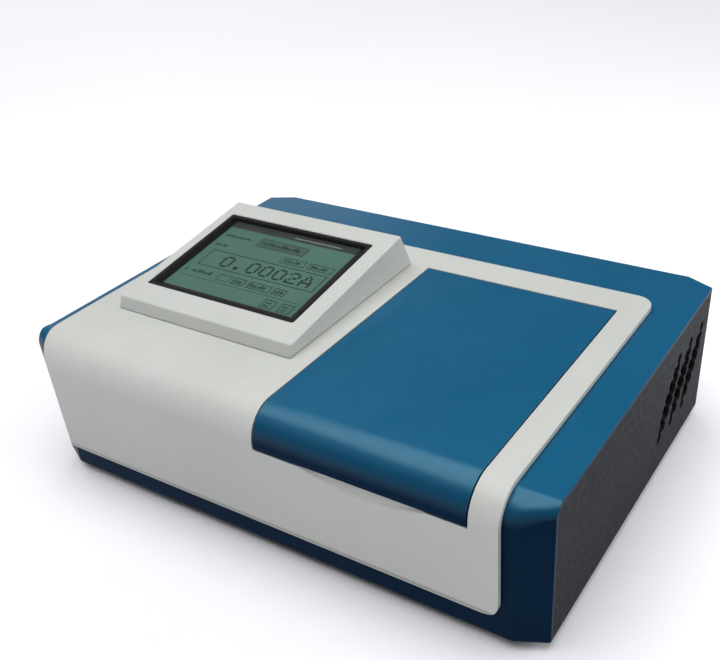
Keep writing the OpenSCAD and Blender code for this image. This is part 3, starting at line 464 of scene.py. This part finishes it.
def plan_corner(grow):
    """The two ends of the front right chamfer in X and Y, grown outwards."""
    length = math.hypot(CORNER_X, CORNER_Y)
    return [(shell.x1 - CORNER_X + grow * (length - CORNER_X) / CORNER_Y, shell.y0 - grow),
            (shell.x1 + grow, shell.y0 + CORNER_Y + grow * (CORNER_Y - length) / CORNER_X)]


def rear_chamfers():
    """The ends of the two rear chamfers in X and Y, from the right side round to the left."""
    right = [(x, shell.y0 + shell.y1 - y) for x, y in reversed(plan_corner(0))]
    return right + [(-x, y) for x, y in reversed(right)]


def cover_corner_cut(inset):
    """The cover's front left corner in X and Y, curving in from its left edge to its front."""
    cut_x, cut_y = COVER_CUT
    turns = [math.radians(90 * i / CORNER_STEPS) for i in range(CORNER_STEPS + 1)]
    return [(cover.x0 + inset + cut_x * (1 - math.cos(t)), cover.y0 + cut_y * (1 - math.sin(t)) - MM)
            for t in turns]


def rounded_rectangle(x0, x1, y0, y1, r, steps=CORNER_STEPS):
    return (arc(x1 - r, y1 - r, r, 0, 90, steps) + arc(x0 + r, y1 - r, r, 90, 180, steps)
            + arc(x0 + r, y0 + r, r, 180, 270, steps) + arc(x1 - r, y0 + r, r, 270, 360, steps))


# ---------------------------------------------------------------- mesh building blocks

def mesh_object(name, bm, material=None):
    bmesh.ops.recalc_face_normals(bm, faces=bm.faces)
    mesh = bpy.data.meshes.new(name)
    bm.to_mesh(mesh)
    bm.free()
    made = bpy.data.objects.new(name, mesh)
    bpy.context.scene.collection.objects.link(made)
    if material:
        mesh.materials.append(material)
    return made


def prism(name, outline, axis, low, high, material=None):
    """A solid of the outline pulled along an axis: x takes (Y, Z), y takes (X, Z), z takes (X, Y)."""
    slot = "xyz".index(axis)
    bm = bmesh.new()
    ends = [[bm.verts.new((*p[:slot], d, *p[slot:])) for p in outline] for d in (low, high)]
    for end in ends:
        bm.faces.new(end)
    count = len(outline)
    for i in range(count):
        j = (i + 1) % count
        bm.faces.new((ends[0][i], ends[0][j], ends[1][j], ends[1][i]))
    return mesh_object(name, bm, material)


def loft(name, rings, material=None):
    """A solid through rings of equal length, each a list of points in X and Y with its height."""
    bm = bmesh.new()
    made = [[bm.verts.new((x, y, z)) for x, y in points] for points, z in rings]
    for low, high in zip(made, made[1:]):
        for i in range(len(low)):
            j = (i + 1) % len(low)
            bm.faces.new((low[i], low[j], high[j], high[i]))
    bm.faces.new(made[0])
    bm.faces.new(made[-1])
    return mesh_object(name, bm, material)


def block(name, x0, x1, y0, y1, z0, z1, material=None):
    return prism(name, [(x0, y0), (x1, y0), (x1, y1), (x0, y1)], "z", z0, z1, material)


def modify(obj, kind, **settings):
    made = obj.modifiers.new(kind.lower(), kind)
    for key, value in settings.items():
        setattr(made, key, value)


def apply_all(obj):
    """Makes the modifiers' result the object's own mesh."""
    graph = bpy.context.evaluated_depsgraph_get()
    mesh = bpy.data.meshes.new_from_object(obj.evaluated_get(graph))
    old = obj.data
    obj.modifiers.clear()
    obj.data = mesh
    bpy.data.meshes.remove(old)


def combine(obj, others, operation="DIFFERENCE"):
    """Boolean of obj with each of the others, which are used up."""
    for other in others:
        modify(obj, "BOOLEAN", operation=operation, object=other, solver="EXACT")
    apply_all(obj)
    for other in others:
        mesh = other.data
        bpy.data.objects.remove(other)
        bpy.data.meshes.remove(mesh)
    return obj


def soften(obj, width, segments=3, angle=28):
    """Rounds the sharp edges, then shades smooth across shallow ones."""
    bm = bmesh.new()
    bm.from_mesh(obj.data)
    bmesh.ops.remove_doubles(bm, verts=bm.verts, dist=1e-6)
    bmesh.ops.dissolve_limit(bm, angle_limit=FLAT, verts=bm.verts, edges=bm.edges)
    bm.to_mesh(obj.data)
    bm.free()
    modify(obj, "BEVEL", width=width, segments=segments, limit_method="ANGLE",
           angle_limit=math.radians(angle), use_clamp_overlap=True, miter_outer="MITER_ARC")
    apply_all(obj)
    smooth(obj)


def smooth(obj, angle=32):
    """Smooth shading over shallow edges, with the big flat faces kept flat."""
    obj.data.shade_smooth()
    obj.data.set_sharp_from_angle(angle=math.radians(angle))
    modify(obj, "WEIGHTED_NORMAL", keep_sharp=True, weight=100, mode="FACE_AREA")


def move(obj, matrix):
    """Moves the mesh itself, so that its coordinates stay those of the frame."""
    obj.data.transform(matrix)
    return obj


def join(name, parts):
    """One object out of several, which keep their materials."""
    bm = bmesh.new()
    slots = []
    for part in parts:
        offset = []
        for material in part.data.materials:
            if material not in slots:
                slots.append(material)
            offset.append(slots.index(material))
        start = len(bm.faces)
        bm.from_mesh(part.data)
        bm.faces.ensure_lookup_table()
        for face in bm.faces[start:]:
            face.material_index = offset[face.material_index] if offset else 0
    made_mesh = bpy.data.meshes.new(name)
    bm.to_mesh(made_mesh)
    bm.free()
    made = bpy.data.objects.new(name, made_mesh)
    bpy.context.scene.collection.objects.link(made)
    for material in slots:
        made_mesh.materials.append(material)
    for part in parts:
        mesh = part.data
        bpy.data.objects.remove(part)
        bpy.data.meshes.remove(mesh)
    return made


def stand_for(obj, node):
    """obj replaces this CAD node, which it hides, and rides on its body."""
    body = next(b for b, held in frame["record"]["behaviour"]["bodies"].items() if node in held)
    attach(obj, body)
    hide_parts(node)


def paint(node, material, bevel):
    """Gives a carried-over CAD node its material and, if asked, softly rounded edges."""
    obj = frame["nodes"][node]
    obj.data.materials.clear()
    obj.data.materials.append(material)
    if bevel:
        modify(obj, "BEVEL", width=bevel, segments=2, limit_method="ANGLE",
               angle_limit=math.radians(35), use_clamp_overlap=True)
    smooth(obj)


# ---------------------------------------------------------------- enclosure

def arm_slots(z0, z1):
    """Cutters for the two slots that the hinge arms swing through."""
    arms = Box("hinge_arms")
    half_arm, half_slot = 4 * MM, 9.5 * MM
    front, rear = arms.y0 + 9 * MM, hinge.y + 6 * MM
    return [block("slot", x - half_slot, x + half_slot, front, rear, z0, z1)
            for x in (arms.x0 + half_arm, arms.x1 - half_arm)]


def display_well(z0, z1):
    """Cutter for the opening under the display, hidden by its housing."""
    side, front, rear = 11 * MM, 22 * MM, 140 * MM
    return block("well", housing.x0 + side, housing.x1 - side, housing.y0 + front, housing.y0 + rear, z0, z1)


def chamfered_plan(grow):
    """Plan of the shell, grown outwards, whose front chamfers run on past its sides."""
    x, y = plan_corner(grow)[0]
    far_y, rear = y + (WIDE - x) * CORNER_Y / CORNER_X, shell.y1 + 4 * MM
    return [(x, y), (WIDE, far_y), (WIDE, rear), (-WIDE, rear), (-WIDE, far_y), (-x, y)]


def round_chamfer_tops(body):
    """Softens the curved edges where the front chamfers run up into the long rounding."""
    bm = bmesh.new()
    bm.from_mesh(body.data)
    bmesh.ops.dissolve_limit(bm, angle_limit=FLAT, verts=bm.verts, edges=bm.edges)
    # The chamfers are the upright faces that look neither straight ahead nor straight sideways
    chamfers = {f for f in bm.faces if abs(f.normal.z) < 0.01 and 0.1 < abs(f.normal.x) < 0.9}
    edges = [e for e in bm.edges if sum(f in chamfers for f in e.link_faces) == 1
             and max(f.normal.z for f in e.link_faces) > 0.02]
    bmesh.ops.bevel(bm, geom=edges, offset=CHAMFER_BLEND, segments=8, profile=0.5, affect="EDGES",
                    clamp_overlap=True)
    bm.to_mesh(body.data)
    bm.free()


def make_shell():
    """Blue shell: flat top, long rounded front edge, chamfered front corners."""
    low, high = shell.z0 - REACH, shell.z1 + REACH
    body = prism("body_shell_skin", side_outline(0, shell.z0, shell.y1), "x", -WIDE, WIDE, use(blue_paint))
    combine(body, [prism("plan", chamfered_plan(0), "z", low, high)], "INTERSECT")
    # The block is wider than the shell until here, so that the soft edges run on past the side planes
    round_chamfer_tops(body)
    sides = [(shell.x1, shell.y0 - REACH)] + rear_chamfers() + [(shell.x0, shell.y0 - REACH)]
    combine(body, [prism("sides", sides, "z", low, high)], "INTERSECT")
    soften(body, 0.9 * MM, 2, 20)
    hollow = prism("hollow", side_outline(-WALL, shell.z0 - 2 * MM, shell.y1 + 2 * MM), "x", -WIDE, WIDE)
    combine(hollow, [prism("around", chamfered_plan(-WALL), "z", low, high)], "INTERSECT")
    rim = 2.5 * MM
    z0, z1 = shell.z1 - WALL - MM, shell.z1 + MM
    mouth = block("mouth", chamber.x0 + rim, chamber.x1 - rim, chamber.y0 + rim, chamber.y1 - rim, z0, z1)
    combine(body, [hollow, mouth, display_well(z0, z1)] + arm_slots(z0, z1))
    smooth(body)
    stand_for(body, "body_shell")


def cover_block(inset):
    """The cover as one solid, drawn in by inset all round its rim."""
    rear, low = cover.y1 - inset, cover.z0 + inset
    x0, x1, r = cover.x0 + inset, cover.x1 - inset, COVER_CORNER - inset
    side = ([(rear, low), (rear, cover.z1)] + front_curve(COVER_T, cover.z0 + COVER_RIM_H)
            + [(cover.y0 + COVER_RIM, low)])
    # The cover's plastic has a painted shade on its sloping lower rim
    plastic = use(white_plastic, "cover_plastic", cover.z0)
    body = prism("front_cover_skin", side, "x", x0 - MM, x1 + MM, plastic)
    # The front view rounds the lower corners only: its upper ones lie far above the cover
    front = rounded_rectangle(x0, x1, low, cover.z1 + 60 * MM, r)
    face = prism("face", front, "y", cover.y0 - REACH, rear + REACH)
    plan = (arc(x1 - r, rear - r, r, 0, 90, CORNER_STEPS) + arc(x0 + r, rear - r, r, 90, 180, CORNER_STEPS)
            + cover_corner_cut(inset) + [(x1, cover.y0 - MM)])
    return combine(body, [face, prism("plan", plan, "z", low - REACH, cover.z1 + REACH)], "INTERSECT")


def make_cover():
    """White cover over the front and the top, with the lid's opening and a finger scoop."""
    body = cover_block(0)
    mouth = block("mouth", lid.x0 - LID_GAP, lid.x1 + LID_GAP, cover.y0 - REACH, lid.y1 + LID_GAP,
                  lid.z0 - LID_GAP, cover.z1 + REACH)
    combine(body, [mouth])
    combine(body, [finger_scoop()])
    soften(body, 0.8 * MM)
    shadow, under = (prism("under", side_outline(grow, cover.z0 - 5 * MM, cover.y1 + REACH), "x",
                           cover.x0 - REACH, cover.x1 + REACH) for grow in (GAP_H, 0))
    combine(shadow, [cover_block(GAP_IN)])
    combine(body, [under, shadow, display_well(shell.z1 - MM, cover.z1 + MM)])
    smooth(body)
    stand_for(body, "front_cover")


def finger_scoop():
    """Cutter for the shallow dish below the lid's lower edge: a large disc that narrows with its depth."""
    half, sag = 52 * MM, 9.5 * MM
    r = (half * half + sag * sag) / (2 * sag)
    centre = Vector(((lid.x0 + lid.x1) / 2 + 5 * MM, cover.y0 - 0.01 * MM, lid.z0 - LID_GAP + r - sag))
    rings = [(arc(0, 0, r - narrower, 0, 360, SCOOP_STEPS)[:-1], depth)
             for narrower, depth in ((0, 0), (1.8 * MM, 1.8 * MM), (7 * MM, 2.5 * MM))]
    facing_rear = Matrix.Rotation(math.radians(-90), 4, "X")
    return move(loft("scoop", rings), Matrix.Translation(centre) @ facing_rear)


def make_lid():
    """Blue lid: a curved skin with rims, flush with the cover."""
    rim, rear_rim, skin, air, bevel = 2.5 * MM, 4.5 * MM, 2 * MM, 0.5 * MM, 1.5 * MM
    rear = [(lid.y1 - bevel, shell.z1 + air), (lid.y1, cover.z1)]
    side = rear + front_curve(COVER_T, lid.z0) + list(reversed(front_curve(air, lid.z0)))
    body = prism("sample_lid_skin", side, "x", lid.x0, lid.x1, use(blue_paint))
    # The hollow stops a rim above the front edge and runs out through the lid's underside
    past, foot = 2 * MM, lid.z0 + rim
    hollow = ([(lid.y1 - rear_rim, shell.z1), (lid.y1 - rear_rim, cover.z1 - skin)]
              + front_curve(COVER_T - skin, foot)
              + [front_curve(air, foot)[-1], front_curve(air - past, foot)[-1]]
              + list(reversed(front_curve(air - past, foot + past))))
    combine(body, [prism("inside", hollow, "x", lid.x0 + rim, lid.x1 - rim)])
    soften(body, 0.7 * MM)
    stand_for(body, "sample_lid")


# ---------------------------------------------------------------- display

# The tilted frame: its origin is in the middle of the lip's upper edge, and its Y runs up the slope
LIP_Y = housing.y0 + LIP_LEAN
RISE = math.atan2(housing.z1 - housing.z0 - LIP, housing.y1 - REAR_SLOPE - LIP_Y)
TILTED = (Matrix.Translation(((housing.x0 + housing.x1) / 2, LIP_Y, housing.z0 + LIP))
          @ Matrix.Rotation(RISE, 4, "X"))


def window(grow, r):
    """The display's window in the tilted frame, grown outwards, with rounded corners."""
    half = WINDOW_W / 2 + grow
    y0, y1 = WINDOW_Y - grow, WINDOW_Y + WINDOW_D + grow
    return rounded_rectangle(WINDOW_X - half, WINDOW_X + half, y0, y1, r, WINDOW_STEPS)


def through_window(name, grow, r, low, high, material=None):
    """A straight solid with the window's outline, between two levels of the tilted frame."""
    outline = window(grow, r)
    return loft(name, [(outline, low), (outline, high)], material)


def make_housing():
    """White wedge with rounded edges and a rounded window in its tilted top."""
    slope = math.tan(RISE)
    toe, ridge, low, high = housing.y1, housing.y1 - REAR_SLOPE, housing.z0, housing.z1
    side = [(housing.y0, low), (LIP_Y, low + LIP), (ridge, high), (toe, low)]
    body = prism("display_housing_skin", side, "x", housing.x0, housing.x1, use(white_plastic))
    soften(body, 1.4 * MM, 4)
    hollow = [(housing.y0 + WALL, low - MM), (LIP_Y + WALL, low + LIP - WALL + WALL * slope),
              (ridge - 2 * MM, high - WALL - 2 * MM * slope), (toe - WALL - MM, low - MM)]
    inside = prism("inside", hollow, "x", housing.x0 + WALL, housing.x1 - WALL)
    # The hole opens out at its upper edge; each ring's growth, corner radius and level are in mm
    rings = ((0, 1.6, -10), (0, 1.6, -0.6), (0.6, 2.2, 0), (1.6, 3, 1))
    hole = loft("hole", [(window(grow * MM, r * MM), level * MM) for grow, r, level in rings])
    combine(body, [inside, move(hole, TILTED)])
    smooth(body)
    stand_for(body, "display_housing")


def make_bezel():
    """Black frame round the glass, with a sloped inner edge and a flange under the housing."""
    black = use(black_plastic, "bezel_black", 0.62, 0.12)
    under, below = GLASS_LOW - MM, GLASS_LOW - 3 * MM
    outer, outer_top = window(-0.15 * MM, 1.5 * MM), window(-0.45 * MM, 1.3 * MM)
    body = loft("display_bezel_skin",
                [(outer, under), (outer, BEZEL_TOP - 0.3 * MM), (outer_top, BEZEL_TOP)], black)
    combine(body, [through_window("flange", 4 * MM, 2 * MM, under, FLANGE_TOP, black)], "UNION")
    inner, inner_top = window(-BEZEL_W - 0.1 * MM, 2 * MM), window(-BEZEL_W + 0.7 * MM, 2.4 * MM)
    opening = loft("opening", [(inner, below), (inner, GLASS_TOP),
                               (inner_top, BEZEL_TOP + 0.1 * MM), (inner_top, 2 * MM)])
    combine(body, [opening, through_window("pocket", -MM, GLASS_R, below, GLASS_TOP)])
    smooth(move(body, TILTED))
    stand_for(body, "display_bezel")


# Small dot-matrix patterns, row by row from the top
GLYPHS = {
    "0": ("01110", "10001", "10001", "10001", "10001", "10001", "01110"),
    "2": ("01110", "10001", "00001", "00110", "01000", "10000", "11111"),
    "A": ("00100", "01010", "01010", "10001", "11111", "10001", "10001"),
    ".": ("00000", "00000", "00000", "00000", "00000", "01100", "01100"),
}


class Print:
    """Thin shapes on the glass, placed from the window's rear left corner: x right, y to the front, in mm."""

    def __init__(self):
        self.parts = []
        self.x0 = WINDOW_X - WINDOW_W / 2
        self.y1 = WINDOW_Y + WINDOW_D

    def bar(self, x, y, w, d, material, level=1):
        """A flat rectangle that stands level layers of print above the glass."""
        low, high = GLASS_TOP - PRINT_SUNK, GLASS_TOP + PRINT_LAYER * level
        x0, y1 = self.x0 + x * MM, self.y1 - y * MM
        self.parts.append(block("bar", x0, x0 + w * MM, y1 - d * MM, y1, low, high, use(material)))

    def box(self, x, y, w, d, line):
        """An empty box, drawn with lines of this width."""
        self.bar(x, y, w, line, screen_ink)
        self.bar(x, y + d - line, w, line, screen_ink)
        self.bar(x, y, line, d, screen_ink)
        self.bar(x + w - line, y, line, d, screen_ink)

    def glyph(self, name, x, y, dot):
        """A character, with each run of marks in a row drawn as one bar."""
        for row, pattern in enumerate(GLYPHS[name]):
            start = None
            for column, mark in enumerate(pattern + "0"):
                if mark == "1" and start is None:
                    start = column
                if mark == "0" and start is not None:
                    self.bar(x + start * dot, y + row * dot, (column - start) * dot, dot * 1.02, screen_ink)
                    start = None

    def writing(self, x, y, w, d, seed):
        """A short line of unreadable marks: stems of four heights, most of them crossed by a bar."""
        step = d * 0.62
        for i in range(int(w / step)):
            tall = 0.55 + 0.45 * ((i * 7 + seed * 5) % 4) / 3
            self.bar(x + i * step, y + d * (1 - tall), step * 0.55, d * tall, screen_ink)
            if (i + seed) % 3:
                self.bar(x + i * step, y + d * 0.4, step, d * 0.18, screen_ink)


def make_glass():
    """Touch glass with the mask, bars, boxes and the big reading it shows."""
    glass = through_window("touch_panel_skin", -GLASS_GAP, GLASS_R, GLASS_LOW, GLASS_TOP, use(screen_lcd))
    p = Print()
    width, depth = WINDOW_W / MM, WINDOW_D / MM
    # Black masks along the glass's edges
    edge, left, rear, front, right = 1.2, 7.4, 3.6, 8, 8.5
    p.bar(edge, edge, left, depth - 2 * edge, screen_mask, 2)
    p.bar(edge, edge, width - 2 * edge, rear, screen_mask, 3)
    p.bar(edge, depth - (edge + front), width - 2 * edge, front, screen_mask, 3)
    p.bar(width - (edge + right), edge, right, depth - 2 * edge, screen_mask, 2)
    # Title bar with its light line, and the shaded field under it
    p.bar(8, 4.4, width - 16, 9.6, screen_bar)
    p.bar(78, 9.2, 50, 1.6, screen_light, 2)
    p.box(50, 20, 52, 12.5, 0.7)
    p.bar(50.7, 20.7, 50.6, 11.1, screen_field)
    p.writing(55, 23.5, 42, 5.5, 1)
    p.writing(13, 24.5, 31, 3.4, 2)
    p.writing(13, 39.5, 15, 3.6, 3)
    for x in (87, 115.5):
        p.box(x, 38, 25, 8.6, 0.8)
        p.writing(x + 3, 40, 19, 4.6, int(x))
    # The reading in its box
    p.box(18, 49.8, 122.5, 23.6, 0.9)
    dot = 2.2
    for name, x in (("0", 37.5), (".", 51.5), ("0", 66), ("0", 80), ("0", 94), ("2", 108), ("A", 122)):
        p.glyph(name, x, 54.2, dot)
    # A line of settings, and the keys below it
    p.writing(13, 79.5, 5, 5, 4)
    p.writing(21, 79.5, 24, 5, 5)
    p.box(49.5, 78.6, 13.5, 8.4, 0.7)
    for seed, x, w in ((6, 66, 13), (7, 82, 23.5), (8, 108.5, 12.5)):
        p.box(x, 78.6, w, 8.4, 0.8)
        p.writing(x + 1.8, 80.4, w - 3.4, 4.8, seed)
    p.bar(14, 90, 126, 0.5, screen_ink)
    for x in (110, 127.5):
        p.box(x, 94, 12.5, 11, 0.8)
        p.writing(x + 2.4, 96.6, 8, 2.6, int(x))
        p.writing(x + 2.4, 100.4, 8, 2.6, int(x) + 1)
    whole = join("touch_panel_skin", [glass] + p.parts)
    smooth(move(whole, TILTED))
    stand_for(whole, "touch_panel")


# ---------------------------------------------------------------- carried-over CAD nodes

def paint_cad_nodes():
    """Each node's material and the rounding of its edges."""
    fine, small = 0.3 * MM, 0.15 * MM
    table = {
        "base_tray": (rear_grey_paint, fine),
        "side_panel_left": (grey_texture_paint, 0),
        "side_panel_right": (grey_texture_paint, 0),
        "rear_panel": (rear_grey_paint, 0),
        "rubber_feet": (foot_rubber, 0.8 * MM),
        "foot_screws": (steel, 0),
        "rear_screws": (steel, 0),
        "lcd_module": (steel, 0),
        "display_board": (circuit_green, 0),
        "lid_liner": (black_plastic, fine),
        "hinge_arms": (steel, fine),
        "hinge_brackets": (steel, small),
        "hinge_pins": (steel, small),
        "lid_seal": (seal_foam, fine),
        "optics_plate": (cast_aluminium, fine),
        "plate_posts": (steel, 0),
        "sample_chamber": (anodised_black, fine),
        "entry_lens": (clear_glass, 0),
        "exit_window": (clear_glass, 0),
        "carriage_rods": (steel, 0),
        "cuvette_carriage": (anodised_black, fine),
        "carriage_nut": (brass_metal, 0),
        "carriage_screw": (steel, 0),
        "carriage_motor": (black_plastic, fine),
        "monochromator_box": (anodised_black, fine),
        "monochromator_lid": (anodised_black, fine),
        "slit_plates": (brass_metal, 0),
        "collimating_mirror": (mirror_coat, 0),
        "focusing_mirror": (mirror_coat, 0),
        "fold_mirror": (mirror_coat, 0),
        "grating_table": (cast_aluminium, small),
        "grating": (ruled_grating, small),
        "worm_wheel": (brass_metal, 0),
        "worm_shaft": (steel, 0),
        "grating_motor": (black_plastic, fine),
        "filter_wheel": (cast_aluminium, small),
        "filters": (amber_filter, 0),
        "filter_motor": (black_plastic, fine),
        "lamp_housing": (cast_aluminium, fine),
        "lamp_holder": (lamp_ceramic, fine),
        "halogen_lamp": (clear_glass, 0),
        "condenser_mirror": (mirror_coat, 0),
        "detector_module": (anodised_black, fine),
        "main_board": (circuit_green, 0),
        "power_supply": (steel, fine),
        "fan_frame": (black_plastic, fine),
        "fan_rotor": (black_plastic, fine),
        "fan_guard": (steel, fine),
        "power_inlet": (black_plastic, fine),
        "inlet_pins": (brass_metal, small),
        "switch_frame": (black_plastic, fine),
        "switch_rocker": (black_plastic, fine),
        "data_ports": (steel, small),
    }
    for node, (maker, bevel) in table.items():
        paint(node, use(maker), bevel)


# ---------------------------------------------------------------- camera, floor and light

def make_camera():
    """Camera at the front right, above the object, with angles in degrees."""
    place = Vector((0.3892, -0.5421, 0.4970))
    azimuth, elevation, roll = 33.6, 34.3, -3.7
    data = bpy.data.cameras.new("camera")
    data.sensor_width = 36.0
    data.lens = 46.645
    data.shift_x = -0.0667
    data.shift_y = 0.0899
    data.clip_start = 0.05
    data.clip_end = 20.0
    made = bpy.data.objects.new("camera", data)
    bpy.context.scene.collection.objects.link(made)
    a, e, r = (math.radians(v) for v in (azimuth, elevation, roll))
    look = Vector((-math.sin(a) * math.cos(e), math.cos(a) * math.cos(e), -math.sin(e)))
    right = Vector((math.cos(a), math.sin(a), 0))
    up = right.cross(look)
    tilted_right = right * math.cos(r) + up * math.sin(r)
    tilted_up = up * math.cos(r) - right * math.sin(r)
    turn = Matrix((tilted_right, tilted_up, -look)).transposed().to_4x4()
    made.matrix_world = Matrix.Translation(place) @ turn
    bpy.context.scene.camera = made


def area_light(name, place, size, power):
    """A white rectangle of light aimed at the object's middle; power in watts."""
    data = bpy.data.lights.new(name, "AREA")
    data.shape = "RECTANGLE"
    data.size, data.size_y = size
    data.energy = power
    made = bpy.data.objects.new(name, data)
    bpy.context.scene.collection.objects.link(made)
    made.location = place
    made.rotation_mode = "QUATERNION"
    middle = Vector((0, 0, 0.08))
    made.rotation_quaternion = (middle - Vector(place)).to_track_quat("-Z", "Y")


def make_world():
    """Even light up to just above the horizon, which then fades upwards."""
    world = bpy.data.worlds.new("studio")
    world.use_nodes = True
    nodes, links = world.node_tree.nodes, world.node_tree.links
    background = nodes["Background"]
    background.inputs["Color"].default_value = (0.95, 0.95, 0.96, 1)
    split = nodes.new("ShaderNodeSeparateXYZ")
    fade = nodes.new("ShaderNodeMapRange")
    from_height, to_height, near_horizon, overhead = 0.04, 0.3, 0.75, 0.13
    for key, number in (("From Min", from_height), ("From Max", to_height),
                        ("To Min", near_horizon), ("To Max", overhead)):
        fade.inputs[key].default_value = number
    links.new(nodes.new("ShaderNodeTexCoord").outputs["Generated"], split.inputs[0])
    links.new(split.outputs["Z"], fade.inputs["Value"])
    links.new(fade.outputs["Result"], background.inputs["Strength"])
    bpy.context.scene.world = world


def make_stage():
    """Floor, world and lights."""
    half, thick = 30.0, 0.02
    floor = block("floor", -half, half, -half, half, -thick, 0.0, use(floor_paper))
    make_world()
    area_light("top_light", (-0.1, -0.22, 1.75), (2.2, 1.8), 46)
    area_light("left_light", (-1.3, -1.3, 1.5), (1.0, 0.28), 0.9)
    area_light("side_light", (0.95, 0.5, 0.45), (0.5, 0.4), 5.5)
    area_light("rear_light", (-2.0, 1.5, 0.9), (1.8, 0.8), 3)
    bpy.context.scene.view_settings.view_transform = "Standard"


make_camera()
make_stage()
make_shell()
make_cover()
make_lid()
make_housing()
make_bezel()
make_glass()
paint_cad_nodes()
